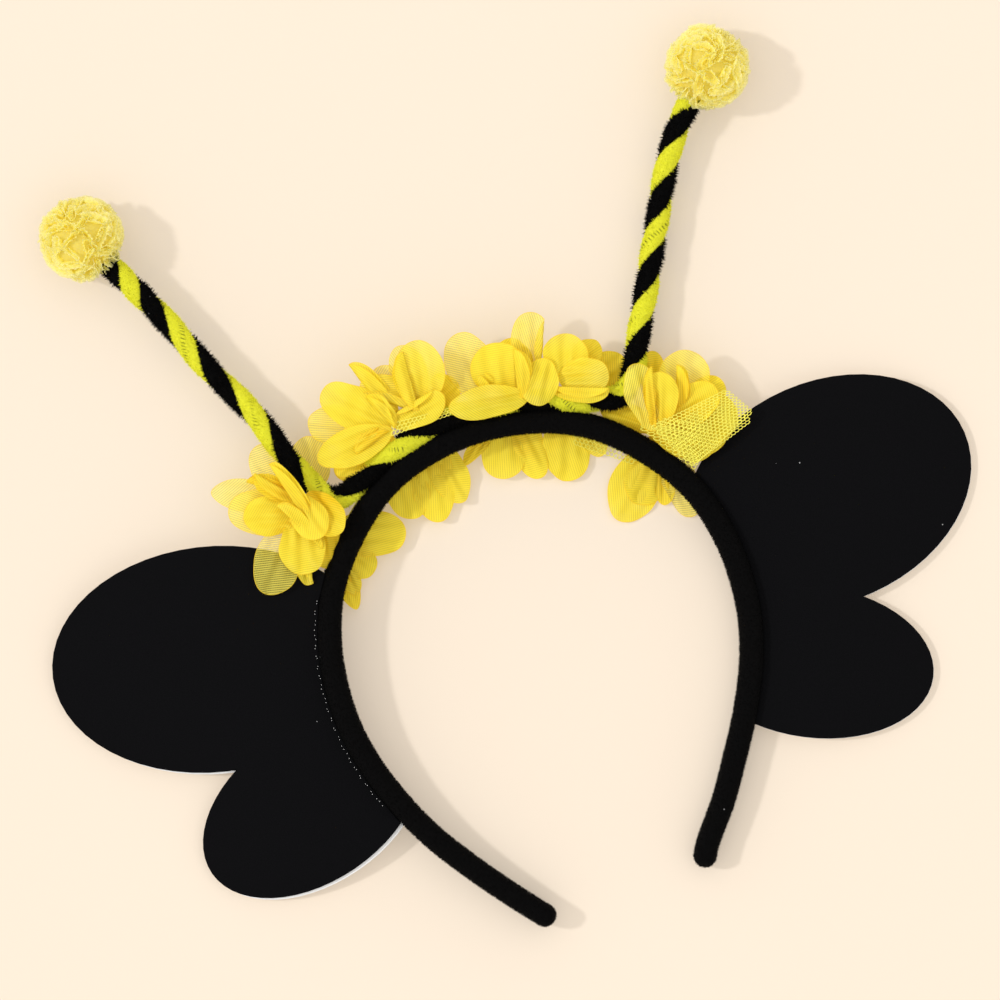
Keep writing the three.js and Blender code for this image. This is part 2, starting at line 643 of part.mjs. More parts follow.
// A flower's body: its petals, the stalk in its middle and the foot that joins the stalk to the ribbon
function flowerSolid(flower, grown = 0) {
  const { seat, middle, petals } = flowerPetals(flower);
  const radius = STALK_RADIUS + grown;
  const stalk = new THREE.CylinderGeometry(radius, radius, STALK_HEIGHT + 2 * grown, 8)
    .rotateX(Math.PI / 2)
    .translate(middle.x, middle.y, STALK_HEIGHT / 2);
  const foot = [seat, middle.clone().setZ(seat.z)];
  const footWay = foot[1].clone().sub(foot[0]).normalize();
  const footSection = roundedSection(radius, radius, 8);
  const footBody = loft(foot.map((point) => ringAround(point, footWay, footSection)));
  return joinAll([stalk, footBody, ...petals.map((petal) => petalGeometry(petal, grown))]
    .map((geometry) => toSolid(geometry)));
}

// Net ribbon: a strip on the band's outer face, and its free end, which spreads like a petal
function ribbonSolid(grown = 0) {
  const half = [RIBBON_THICKNESS / 2 + grown, RIBBON_WIDTH / 2 + grown];
  const section = [[-half[0], half[1]], [half[0], half[1]], [half[0], -half[1]], [-half[0], -half[1]]];
  const out = BAND_THICKNESS + CLEARANCE + RIBBON_THICKNESS / 2;
  const height = RIBBON_HEIGHT + RIBBON_WIDTH / 2;
  const { from, to, steps } = RIBBON_SPAN;
  const shares = Array.from({ length: steps + 1 }, (_, step) => from + (to - from) * step / steps);
  const strip = loft(shares.map((share) => ringAround(
    onBand(share, out, height), bandEdge.getTangentAt(share), section)));
  const root = onBand(RIBBON_FLAP.at, out, sized(RIBBON_FLAP.root));
  const tip = vector(root.x + sized(RIBBON_FLAP.x), root.y + sized(RIBBON_FLAP.y), sized(RIBBON_FLAP.height));
  const breadth = RIBBON_FLAP.breadth * PETAL_BREADTH;
  const flap = petalGeometry({ root, tip, breadth, bend: PETAL_BEND.flap, cup: 0 }, grown);
  return joinAll([toSolid(strip), toSolid(flap)]);
}

// Assembly
function piece(name, geometry, material) {
  const mesh = new THREE.Mesh(geometry, material);
  mesh.name = name;
  return mesh;
}

const headband = new THREE.Group();
headband.add(leaning);

leaning.add(piece('headband', toGeometry(toSolid(bandGeometry())), velvet));

const wingSpaces = ['left', 'right'].map((side) => {
  const group = wingGroup(side);
  const feltLow = BACKING_THICKNESS + CLEARANCE;
  const wingTop = feltLow + FELT_THICKNESS;
  group.add(piece(`${side}_wing_backing`, toGeometry(wingSheet(side, 0, BACKING_THICKNESS)), foam));
  group.add(piece(`${side}_wing_felt`, toGeometry(wingSheet(side, feltLow, wingTop)), felt));
  leaning.add(group);
  group.updateMatrix();
  const space = wingSheet(side, -CLEARANCE, wingTop + CLEARANCE, CLEARANCE);
  return toSolid(toGeometry(space).applyMatrix4(group.matrix));
});

leaning.add(piece('black_chenille_stem', toGeometry(toSolid(strandGeometry(0))), blackChenille));
leaning.add(piece('yellow_chenille_stem', toGeometry(toSolid(strandGeometry(0.5))), yellowChenille));

const stemSpace = toSolid(stemEnvelope());
for (const side of ['left', 'right']) {
  const pompom = piece(`${side}_pompom`, pompomGeometry(side), tulle);
  pompom.position.copy(pompomCentres[side]);
  leaning.add(pompom);
}

// Soft trim is cut back from everything that it lies against, and each flower from the ones before it
const bandSpace = toSolid(bandGeometry(CLEARANCE));
let taken = joinAll([bandSpace, stemSpace, ...wingSpaces]);
leaning.add(piece('net_ribbon', toGeometry(largestPiece(ribbonSolid().subtract(taken))), tulle));
taken = taken.add(ribbonSolid(CLEARANCE));
for (const flower of FLOWERS) {
  const body = largestPiece(flowerSolid(flower).subtract(taken));
  leaning.add(piece(flower.name, toGeometry(body), chiffon));
  taken = taken.add(flowerSolid(flower, CLEARANCE));
}

export default headband;
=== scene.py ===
# A bee antenna headband, lying on its front on a pale table and seen from straight above.
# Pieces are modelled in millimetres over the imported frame, and finished in the frame's metres.
import math

import bmesh
import bpy
import numpy as np
from mathutils import Matrix, Vector, noise


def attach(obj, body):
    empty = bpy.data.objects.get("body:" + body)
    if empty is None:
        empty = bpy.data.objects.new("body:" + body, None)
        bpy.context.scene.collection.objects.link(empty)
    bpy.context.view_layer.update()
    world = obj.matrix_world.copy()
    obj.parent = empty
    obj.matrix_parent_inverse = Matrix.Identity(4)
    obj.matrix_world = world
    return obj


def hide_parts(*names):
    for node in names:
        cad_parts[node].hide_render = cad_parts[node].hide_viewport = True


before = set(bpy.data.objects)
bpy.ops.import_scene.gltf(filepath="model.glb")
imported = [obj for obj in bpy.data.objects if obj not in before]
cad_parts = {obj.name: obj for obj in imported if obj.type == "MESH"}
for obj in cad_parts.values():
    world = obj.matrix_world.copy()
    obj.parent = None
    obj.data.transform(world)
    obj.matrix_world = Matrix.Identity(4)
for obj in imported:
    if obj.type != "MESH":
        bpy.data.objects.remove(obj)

MM = 0.001
UP = Vector((0, 0, 1))
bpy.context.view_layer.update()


# Headband: a sprung plastic band under foam padding, wrapped in black velvet whose short pile stands
# up all round. It lies on its right tip with the crown raised, so all that it carries leans too.
HEAD_HALF_WIDTH = 61.75
BAND_THICKNESS = 6.7
BAND_HEIGHT = 10.5
BAND_SQUARENESS = 2.6
CROWN_LIFT = 7
LEFT_TIP_LIFT = 1.8
# The inner edge from the left tip over the crown to the right one: directions from the middle of the
# head in degrees, and how far out the edge is there, in shares of HEAD_HALF_WIDTH
BAND_EDGE = (
    (258.9, 1.46), (250, 1.321), (240, 1.215), (230, 1.145), (220, 1.092), (205, 1.042), (190, 1.012),
    (170, 0.99), (150, 0.98), (120, 0.972), (90, 0.958), (60, 0.972), (30, 0.98), (10, 0.99),
    (-10, 1.012), (-25, 1.042), (-40, 1.092), (-50, 1.15), (-60, 1.247), (-70, 1.38), (-72.8, 1.459),
)
BAND_STATIONS = 150
BAND_SECTION_SIDES = 28
CROWN_SWELL = 0.35
# The share of the band's length that each tip rounds off over, and how finely
TIP_SHARE = 0.008375
TIP_TURNS = np.linspace(0.25, 1.57, 6)
# Coats of pile: fibres to a square millimetre, their length, radius and how far they lean
VELVET_PILE = ((4.2, 0.6, 0.09, 0.6),)
VELVET_BLACK = (0.0016, 0.0015, 0.0016)
LINT_GREY = (0.3, 0.3, 0.31)


def path_through(points):
    """A smooth line through the points: at(share of its length) gives a place on it and the way on."""
    outer = [2 * points[0] - points[1], *points, 2 * points[-1] - points[-2]]
    line = []
    for before, start, end, after in zip(outer, outer[1:], outer[2:], outer[3:]):
        gaps = [(b - a).length ** 0.5 for a, b in ((before, start), (start, end), (end, after))]
        middle = (end - start) / gaps[1]
        leave = (start - before) / gaps[0] - (end - before) / (gaps[0] + gaps[1]) + middle
        arrive = middle - (after - start) / (gaps[1] + gaps[2]) + (after - end) / gaps[2]
        for t in np.linspace(0, 1, 32, endpoint=False):
            line.append(
                start * (2 * t**3 - 3 * t**2 + 1) + end * (3 * t**2 - 2 * t**3)
                + leave * gaps[1] * (t**3 - 2 * t**2 + t) + arrive * gaps[1] * (t**3 - t**2))
    line.append(points[-1])
    passed = np.cumsum([0] + [(b - a).length for a, b in zip(line, line[1:])])
    corners = np.array([tuple(corner) for corner in line])

    def place(share):
        return Vector([np.interp(share * passed[-1], passed, corners[:, axis]) for axis in range(3)])

    def at(share):
        behind, ahead = max(share - 0.002, 0), min(share + 0.002, 1)
        return place(share), (place(ahead) - place(behind)).normalized()

    return at


band_edge = path_through([
    Vector((math.cos(math.radians(turn)), math.sin(math.radians(turn)), 0)) * reach * HEAD_HALF_WIDTH
    for turn, reach in BAND_EDGE])


def on_band(share, out, height):
    """A place on the band: share of its length, how far out from its inner edge, how high."""
    place, way = band_edge(share)
    return place + UP.cross(way) * out + UP * height


def leaning_plane():
    """The plane of the band's underside, as the matrix that leans what is built on it."""
    tip, left, crown = (
        on_band(share, BAND_THICKNESS / 2, lift)
        for share, lift in ((1, 0), (0, LEFT_TIP_LIFT), (0.5, CROWN_LIFT)))
    normal = (crown - tip).cross(left - tip).normalized()
    lean = UP.rotation_difference(normal).to_matrix().to_4x4()
    return Matrix.Translation(normal * normal.dot(tip)) @ lean


leaning = leaning_plane()


def station(place, way, across, up):
    """The matrix that puts a unit circle round a place on a path, with those half sizes."""
    side = way.cross(UP).normalized()
    turned = Matrix((side * across, side.cross(way) * up, way)).transposed().to_4x4()
    turned.translation = place
    return turned


def swept(stations, section, tags=()):
    """A closed skin through the stations over a section's corners, which can carry named values."""
    skin = bmesh.new()
    layers = {name: skin.verts.layers.float.new(name) for name in ("along", *dict(tags))}
    ring = bmesh.ops.create_circle(skin, cap_ends=True, segments=len(section), radius=1)["verts"]
    for number, (vert, corner) in enumerate(zip(ring, section)):
        vert.co.xy = corner
        for name, values in dict(tags).items():
            vert[layers[name]] = values[number]
    bmesh.ops.transform(skin, matrix=stations[0], verts=ring)
    passed = 0
    for before, after in zip(stations, stations[1:]):
        passed += (after.translation - before.translation).length
        inside = set(ring)
        edges = list(dict.fromkeys(
            edge for vert in ring for edge in vert.link_edges if edge.other_vert(vert) in inside))
        grown = bmesh.ops.extrude_edge_only(skin, edges=edges)["geom"]
        ring = [part for part in grown if isinstance(part, bmesh.types.BMVert)]
        for vert in ring:
            vert[layers["along"]] = passed
        bmesh.ops.transform(skin, matrix=after @ before.inverted(), verts=ring)
    inside = set(ring)
    edges = list(dict.fromkeys(
        edge for vert in ring for edge in vert.link_edges if edge.other_vert(vert) in inside))
    bmesh.ops.contextual_create(skin, geom=edges)
    bmesh.ops.recalc_face_normals(skin, faces=skin.faces)
    return skin


def finished(mesh, name, material, place=leaning):
    """The mesh as a smooth object of that name, moved into the frame and measured in metres."""
    bmesh.ops.transform(mesh, matrix=Matrix.Scale(MM, 4) @ place, verts=mesh.verts)
    for face in mesh.faces:
        face.smooth = True
    data = bpy.data.meshes.new(name)
    mesh.to_mesh(data)
    mesh.free()
    data.materials.append(material)
    piece = bpy.data.objects.new(name, data)
    bpy.context.scene.collection.objects.link(piece)
    return piece


def node(tree, kind, sources=(), **settings):
    """A new node with its settings, and its inputs: a value, or the output that feeds it."""
    made = tree.nodes.new(kind)
    for name, value in settings.items():
        setattr(made, name, value)
    for name, source in dict(sources).items():
        if isinstance(source, bpy.types.NodeSocket):
            tree.links.new(source, made.inputs[name])
        else:
            made.inputs[name].default_value = source
    return made


def grow_pile(piece, fibre_material, coats):
    """Fibres all over a piece but where it is bare, as thin cones that lean a little each way."""
    tree = bpy.data.node_groups.new(f"{piece.name}_pile", "GeometryNodeTree")
    for way in ("INPUT", "OUTPUT"):
        tree.interface.new_socket("Geometry", in_out=way, socket_type="NodeSocketGeometry")
    skin = node(tree, "NodeGroupInput").outputs[0]
    bare = node(
        tree, "GeometryNodeInputNamedAttribute", {"Name": "bare"}, data_type="FLOAT").outputs[0]
    all_coats = node(tree, "GeometryNodeJoinGeometry")
    tree.links.new(skin, all_coats.inputs[0])
    for number, (per_square_mm, length, radius, tilt) in enumerate(coats):
        packed, seed = per_square_mm / MM**2, 3 + 7 * number
        density = node(
            tree, "ShaderNodeMath", {0: bare, 1: -packed, 2: packed}, operation="MULTIPLY_ADD")
        roots = node(
            tree, "GeometryNodeDistributePointsOnFaces",
            {"Mesh": skin, "Density": density.outputs[0], "Seed": seed})
        cone = node(
            tree, "GeometryNodeMeshCone",
            {"Vertices": 3, "Radius Top": 0.0, "Radius Bottom": radius * MM, "Depth": length * MM},
            fill_type="NONE")
        fibre = node(
            tree, "GeometryNodeSetMaterial",
            {"Geometry": cone.outputs["Mesh"], "Material": fibre_material})
        lean = node(tree, "FunctionNodeRandomValue", {"Seed": seed + 1}, data_type="FLOAT_VECTOR")
        lean.inputs[0].default_value = (-tilt, -tilt, 0)
        lean.inputs[1].default_value = (tilt, tilt, math.tau)
        turn = node(tree, "FunctionNodeEulerToRotation", {"Euler": lean.outputs[0]})
        stand = node(
            tree, "FunctionNodeRotateRotation",
            {"Rotation": roots.outputs["Rotation"], "Rotate By": turn.outputs[0]}, rotation_space="LOCAL")
        size = node(tree, "FunctionNodeRandomValue", {"Seed": seed + 2}, data_type="FLOAT")
        size.inputs[2].default_value = 0.6
        size.inputs[3].default_value = 1.15
        fibres = node(
            tree, "GeometryNodeInstanceOnPoints",
            {"Points": roots.outputs["Points"], "Instance": fibre.outputs[0],
             "Rotation": stand.outputs[0], "Scale": size.outputs[1]})
        real = node(tree, "GeometryNodeRealizeInstances", {"Geometry": fibres.outputs[0]})
        tree.links.new(real.outputs[0], all_coats.inputs[0])
    node(tree, "NodeGroupOutput", {0: all_coats.outputs[0]})
    piece.modifiers.new("pile", "NODES").node_group = tree


def new_material(name):
    """A new material, its node tree and its shader."""
    material = bpy.data.materials.new(name)
    material.use_nodes = True
    return material, material.node_tree, material.node_tree.nodes["Principled BSDF"]


def blend(tree, share, low, high):
    """The way from one colour to another, each a colour or the output that gives it."""
    low, high = (end if isinstance(end, bpy.types.NodeSocket) else (*end, 1) for end in (low, high))
    return node(
        tree, "ShaderNodeMix", {"Factor": share, 6: low, 7: high}, data_type="RGBA").outputs[2]


def black_cloth(name, ground, grain_size, lint_spacing, lint_size):
    """Black pile or felt: its grain, slow shifts of tone, and pale lint caught here and there."""
    material, tree, shader = new_material(name)
    place = node(tree, "ShaderNodeTexCoord").outputs["Object"]
    grain = node(
        tree, "ShaderNodeTexNoise",
        {"Vector": place, "Scale": 1 / (grain_size * MM), "Detail": 3.0, "Roughness": 0.7})
    tone = blend(
        tree, grain.outputs["Fac"], [channel * 0.55 for channel in ground],
        [channel * 1.6 for channel in ground])
    specks = node(
        tree, "ShaderNodeTexVoronoi", {"Vector": place, "Scale": 1 / (lint_spacing * MM)})
    caught = node(
        tree, "ShaderNodeMath", {0: specks.outputs["Distance"], 1: lint_size / lint_spacing},
        operation="LESS_THAN")
    colour = blend(tree, caught.outputs[0], tone, LINT_GREY)
    tree.links.new(colour, shader.inputs["Base Color"])
    bump = node(
        tree, "ShaderNodeBump",
        {"Height": grain.outputs["Fac"], "Strength": 0.5, "Distance": 0.2 * MM})
    tree.links.new(bump.outputs[0], shader.inputs["Normal"])
    shader.inputs["Roughness"].default_value = 0.95
    shader.inputs["Specular IOR Level"].default_value = 0.06
    return material


velvet = black_cloth(
    "black_velvet", VELVET_BLACK, grain_size=0.5, lint_spacing=7.0, lint_size=0.2)
band_stations = []
for share in [
        *[TIP_SHARE * (1 - math.cos(turn)) for turn in TIP_TURNS],
        *np.linspace(TIP_SHARE, 1 - TIP_SHARE, BAND_STATIONS)[1:-1],
        *[1 - TIP_SHARE * (1 - math.cos(turn)) for turn in TIP_TURNS[::-1]]]:
    inset = max(0, 1 - min(share, 1 - share) / TIP_SHARE)
    shrink = math.sqrt(1 - inset**2)
    swell = CROWN_SWELL * max(0, math.sin(math.pi * share)) ** 0.5
    band_stations.append(station(
        on_band(share, BAND_THICKNESS / 2 + swell, BAND_HEIGHT / 2), band_edge(share)[1],
        (BAND_THICKNESS / 2 + swell) * shrink, BAND_HEIGHT / 2 * shrink))
band_section = [
    [math.copysign(abs(value) ** (2 / BAND_SQUARENESS), value)
     for value in (math.cos(turn), math.sin(turn))]
    for turn in np.linspace(0, math.tau, BAND_SECTION_SIDES, endpoint=False)]
headband = finished(swept(band_stations, band_section), "velvet_headband", velvet)
grow_pile(headband, velvet, VELVET_PILE)
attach(headband, "root")
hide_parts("headband")


# Wings: a die-cut sheet of black felt on each side, glued over a sheet of white foam of the same
# outline, with edges cut square. The foam shows a little past the left wing's felt, and a row of
# white stitches holds that wing along the band.
FELT_EDGE = 0.3
FOAM_EDGE = 0.25
FELT_BLACK = (0.0024, 0.0024, 0.003)
FOAM_WHITE = (0.8, 0.8, 0.81)
FOAM_SHIFT = {"left": Vector((0.7, -0.9, 0)), "right": Vector((0.2, -0.2, 0))}
# The stitches: from and to in shares of the band's length, how far out from its inner edge they lie,
# how many there are, their size, and how they are stretched along the row and pressed flat
STITCHES = {
    "shares": (0.163, 0.325), "out": 8.2, "count": 46, "size": 0.1, "stretch": (0.8, 1.6, 0.6, 1)}


def soft_edged(node_name, edge):
    """A copy of a flat sheet of the frame, in millimetres, with its cut edges rounded."""
    sheet = bmesh.new()
    sheet.from_mesh(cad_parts[node_name].data)
    bmesh.ops.scale(sheet, vec=[1 / MM] * 3, verts=sheet.verts)
    bmesh.ops.remove_doubles(sheet, verts=sheet.verts, dist=0.001)
    bmesh.ops.dissolve_limit(
        sheet, angle_limit=math.radians(1), verts=sheet.verts, edges=sheet.edges)
    rims = [part for part in sheet.edges if part.calc_face_angle(0) > math.radians(60)]
    bmesh.ops.bevel(
        sheet, geom=rims, offset=edge, segments=2, profile=0.5, affect="EDGES", material=-1)
    return sheet


felt = black_cloth("black_felt", FELT_BLACK, grain_size=0.35, lint_spacing=9.0, lint_size=0.2)

foam, tree, shader = new_material("white_foam")
place = node(tree, "ShaderNodeTexCoord").outputs["Object"]
cells = node(tree, "ShaderNodeTexNoise", {"Vector": place, "Scale": 1800.0, "Detail": 2.0})
tone = blend(tree, cells.outputs["Fac"], [channel * 0.92 for channel in FOAM_WHITE], FOAM_WHITE)
tree.links.new(tone, shader.inputs["Base Color"])
bump = node(
    tree, "ShaderNodeBump", {"Height": cells.outputs["Fac"], "Strength": 0.25, "Distance": 0.1 * MM})
tree.links.new(bump.outputs[0], shader.inputs["Normal"])
shader.inputs["Roughness"].default_value = 0.8

for side in ("left", "right"):
    wing = finished(soft_edged(f"{side}_wing_felt", FELT_EDGE), f"{side}_felt_wing", felt, Matrix())
    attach(wing, "root")
    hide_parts(f"{side}_wing_felt")

    sheet = soft_edged(f"{side}_wing_backing", FOAM_EDGE)
    backing = finished(sheet, f"{side}_foam_wing", foam, Matrix.Translation(FOAM_SHIFT[side]))
    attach(backing, "root")
    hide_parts(f"{side}_wing_backing")


felt_top = max(
    (leaning.inverted() @ (vert.co / MM)).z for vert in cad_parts["left_wing_felt"].data.vertices)
stitches = bmesh.new()
for number, share in enumerate(np.linspace(*STITCHES["shares"], STITCHES["count"])):
    stitch = on_band(
        share + 0.001 * math.sin(2.9 * number), STITCHES["out"] + 0.2 * math.sin(4.7 * number), felt_top)
    bmesh.ops.create_icosphere(
        stitches, subdivisions=1, radius=STITCHES["size"],
        matrix=Matrix.Translation(stitch) @ Matrix.Diagonal(STITCHES["stretch"]))
seam = finished(stitches, "left_wing_stitches", foam)
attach(seam, "root")


# Chenille stems: a black and a yellow pipe cleaner, each a wire with dense pile all round it, twisted
# round each other. The pair runs from pompom to pompom and along the outside of the crown.
STRAND_RADIUS = 1.45
STRAND_GAP = 0.5
STEM_RADIUS = 2 * STRAND_RADIUS + STRAND_GAP / 2
STEM_SEAT = 7.4
STEM_CLEARANCE = 0.3
STEM_ON_CROWN = {"left": 0.402, "right": 0.591, "steps": 6}
POMPOM_RADIUS = 13.5
POMPOM_SOCKET_DEPTH = 5
# Each antenna: length in plan to the pompom's middle, direction in degrees from +X, which way it bows,
# and rows of shares of that length: how far along, how far it bows outwards, how high over the table
ANTENNAE = {
    "left": (115.5, 120.4, 1, (
        (0.021, 0.029, 0.136), (0.09, 0.047, 0.122), (0.19, 0.041, 0.112), (0.33, 0.02, 0.105),
        (0.49, 0.017, 0.103), (0.73, 0, 0.102))),
    "right": (111, 55.4, -1, (
        (0.048, 0.066, 0.112), (0.103, 0.082, 0.1), (0.2, 0.068, 0.086), (0.31, 0.049, 0.074),
        (0.46, 0.024, 0.07), (0.64, -0.007, 0.073), (0.79, -0.023, 0.083))),
}
# The black strand lies on top at these shares of the route, once for each turn of the twist
BLACK_ON_TOP = (
    -0.06, 0.01, 0.07, 0.171, 0.283, 0.382, 0.479, 0.573, 0.652, 0.725, 0.807, 0.885, 0.963, 1.04)
STRAND_STATIONS = 460
STRAND_CORNERS = 13
# Each strand fills its half of the pair's round section. Ridge and seam are how far its pile's body
# reaches from the pair's middle where it stands proud, and where it meets the other strand
STRANDS = {
    "black": {
        "phase": 0.0, "ridge": 3.15, "seam": 2.8,
        "coats": ((5, 0.6, 0.13, 0.35), (2.4, 1.5, 0.2, 0.5))},
    "yellow": {
        "phase": 0.5, "ridge": 3.55, "seam": 2.9,
        "coats": ((8, 0.5, 0.11, 0.35), (1.5, 1.0, 0.18, 0.45))},
}
CHENILLE_YELLOW = (1.0, 1.0, 0.05)
# The dark olive is painted shade in the slits where the yellow pile parts.
PARTING_SHADE = (0.26, 0.26, 0.01)
PARTING_PITCH = 0.9


def over_table(x, y, height):
    """A place on the leaning plane's own axes that lies at x, y and a height over the table."""
    return leaning.inverted() @ Vector((x, y, height))


def antenna(side, base):
    """The points of one antenna from its base on the crown to its pompom, and the pompom's middle."""
    reach, direction, bow_side, rows = ANTENNAE[side]
    way = Vector((math.cos(math.radians(direction)), math.sin(math.radians(direction)), 0))
    outward = Vector((-way.y, way.x, 0)) * bow_side
    points = []
    for along, bow, height in rows:
        plan = base + (way * along + outward * bow) * reach
        points.append(over_table(plan.x, plan.y, height * reach))
    middle = base + way * reach
    pompom = over_table(middle.x, middle.y, POMPOM_RADIUS)
    last = points[-1]
    seated = (pompom - last).length - POMPOM_RADIUS + POMPOM_SOCKET_DEPTH
    points.append(last + (pompom - last).normalized() * seated)
    return points, pompom


stem_out = BAND_THICKNESS + STEM_CLEARANCE + STEM_RADIUS
crown_route = [
    on_band(share, stem_out, STEM_SEAT) for share in
    np.linspace(STEM_ON_CROWN["left"], STEM_ON_CROWN["right"], STEM_ON_CROWN["steps"] + 1)]
left_route, left_pompom_middle = antenna("left", crown_route[0])
right_route, right_pompom_middle = antenna("right", crown_route[-1])
stem_route = path_through([*left_route[::-1], *crown_route[1:-1], *right_route])


def strand(phase):
    """The stations of the pair's section, turned so that one strand's half lies upwards."""
    turns = np.arange(len(BLACK_ON_TOP))
    stations = []
    for share in np.linspace(0, 1, STRAND_STATIONS):
        turn = math.tau * (np.interp(share, BLACK_ON_TOP, turns) + phase)
        stations.append(station(*stem_route(share), 1, 1) @ Matrix.Rotation(-turn, 4, "Z"))
    return stations


def half_round(ridge, seam):
    """The corners of one strand's half of the section, each one's lean from the ridge, and bare ones."""
    leans = np.radians(np.linspace(-84, 84, STRAND_CORNERS))
    reaches = [ridge - (ridge - seam) * abs(math.sin(lean)) ** 6 for lean in leans]
    section = [(reach * math.sin(lean), reach * math.cos(lean)) for reach, lean in zip(reaches, leans)]
    section += [(0.8 * seam, 0.05), (0, 0.05), (-0.8 * seam, 0.05)]
    tags = {"lean": [ridge * lean for lean in leans] + [9, 9, 9], "bare": [0] * STRAND_CORNERS + [1, 1, 1]}
    return section, tags


def yellow_chenille():
    """Bright pile that darkens from tuft to tuft, with painted shade in short slits where it parts along
    the strand's ridge.
    """
    material, tree, shader = new_material("yellow_chenille")
    place = node(tree, "ShaderNodeTexCoord").outputs["Object"]
    tufts = node(tree, "ShaderNodeTexNoise", {"Vector": place, "Scale": 1500.0, "Detail": 2.0})
    tone = blend(
        tree, tufts.outputs["Fac"], [channel * 0.8 for channel in CHENILLE_YELLOW], CHENILLE_YELLOW)
    along = node(tree, "ShaderNodeAttribute", attribute_name="along").outputs["Fac"]
    lean = node(tree, "ShaderNodeAttribute", attribute_name="lean").outputs["Fac"]
    drift = node(tree, "ShaderNodeTexNoise", {"Vector": place, "Scale": 160.0, "Detail": 0.0})
    uneven = node(
        tree, "ShaderNodeMath", {0: drift.outputs["Fac"], 1: 3.0, 2: along}, operation="MULTIPLY_ADD")
    slant = node(
        tree, "ShaderNodeMath", {0: lean, 1: 0.5, 2: uneven.outputs[0]}, operation="MULTIPLY_ADD")
    rows = node(
        tree, "ShaderNodeMath", {0: slant.outputs[0], 1: math.tau / PARTING_PITCH}, operation="MULTIPLY")
    wave = node(tree, "ShaderNodeMath", {0: rows.outputs[0]}, operation="COSINE")
    slit = node(tree, "ShaderNodeMapRange", {"Value": wave.outputs[0], "From Min": 0.5, "From Max": 0.9})
    off_ridge = node(tree, "ShaderNodeMath", {0: lean}, operation="ABSOLUTE")
    ridge = node(
        tree, "ShaderNodeMapRange",
        {"Value": off_ridge.outputs[0], "From Min": 0.5, "From Max": 1.3, "To Min": 1.0, "To Max": 0.0})
    often = node(
        tree, "ShaderNodeMapRange", {"Value": drift.outputs["Fac"], "From Min": 0.42, "From Max": 0.58})
    near = node(tree, "ShaderNodeMath", {0: ridge.outputs[0], 1: often.outputs[0]}, operation="MULTIPLY")
    # Painted shade: near the ridge the slits are darkened towards the olive.
    parting_shade = node(tree, "ShaderNodeMath", {0: slit.outputs[0], 1: near.outputs[0]}, operation="MULTIPLY")
    colour = blend(tree, parting_shade.outputs[0], tone, PARTING_SHADE)
    tree.links.new(colour, shader.inputs["Base Color"])
    shader.inputs["Roughness"].default_value = 0.85
    shader.inputs["Specular IOR Level"].default_value = 0.2
    shader.inputs["Sheen Weight"].default_value = 0.5
    shader.inputs["Sheen Tint"].default_value = (1.0, 1.0, 0.3, 1)
    glow = node(tree, "ShaderNodeBsdfTranslucent", {"Color": colour})
    lit = node(tree, "ShaderNodeMixShader", {0: 0.35, 1: shader.outputs[0], 2: glow.outputs[0]})
    tree.links.new(lit.outputs[0], tree.nodes["Material Output"].inputs["Surface"])
    return material


piles = {
    "black": black_cloth(
        "black_chenille", VELVET_BLACK, grain_size=0.4, lint_spacing=5.0, lint_size=0.14),
    "yellow": yellow_chenille()}
for colour, sizes in STRANDS.items():
    section, tags = half_round(sizes["ridge"], sizes["seam"])
    stem = finished(swept(strand(sizes["phase"]), section, tags), f"{colour}_pipe_cleaner", piles[colour])
    grow_pile(stem, piles[colour], sizes["coats"])
    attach(stem, "root")
    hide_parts(f"{colour}_chenille_stem")


# Pompoms: a strip of tulle gathered along one edge and wound tight on each stem's end. The free edge
# springs out into flutes packed side by side, with a painted highlight at their rims and painted deep
# gold shade down inside. A core stands for the cloth packed between them.
# Painted light on the pompoms: the rim colour is a painted highlight, and the deep colour is painted shade
# down inside the ball.
TULLE_LIT_RIM = (1.0, 0.98, 0.55)
TULLE_PALE = (1.0, 0.99, 0.54)
TULLE_SHADED_DEEP = (1.0, 0.91, 0.2)
TULLE_PITCH = 0.9
FLUTES = 84
FLUTE_GRID = (56, 5)
FLUTE_HALF_LENGTH = 3.9
FLUTE_HALF_WIDTH = 1.35
# Each flute has a narrower and shorter one inside it: shares of its spread and of its reach
NESTED_FLUTES = ((1, 1), (0.45, 0.96))
# Shares of the pompom's radius: where the flutes start, and where the core ends
FLUTE_ROOT = 0.72
CORE_SHARE = 0.8
# How pale the core's cloth is painted, on the flutes' scale of painted shade from 0, deep at the root, to
# 1, lit at the rim
CORE_TONE = 0.5


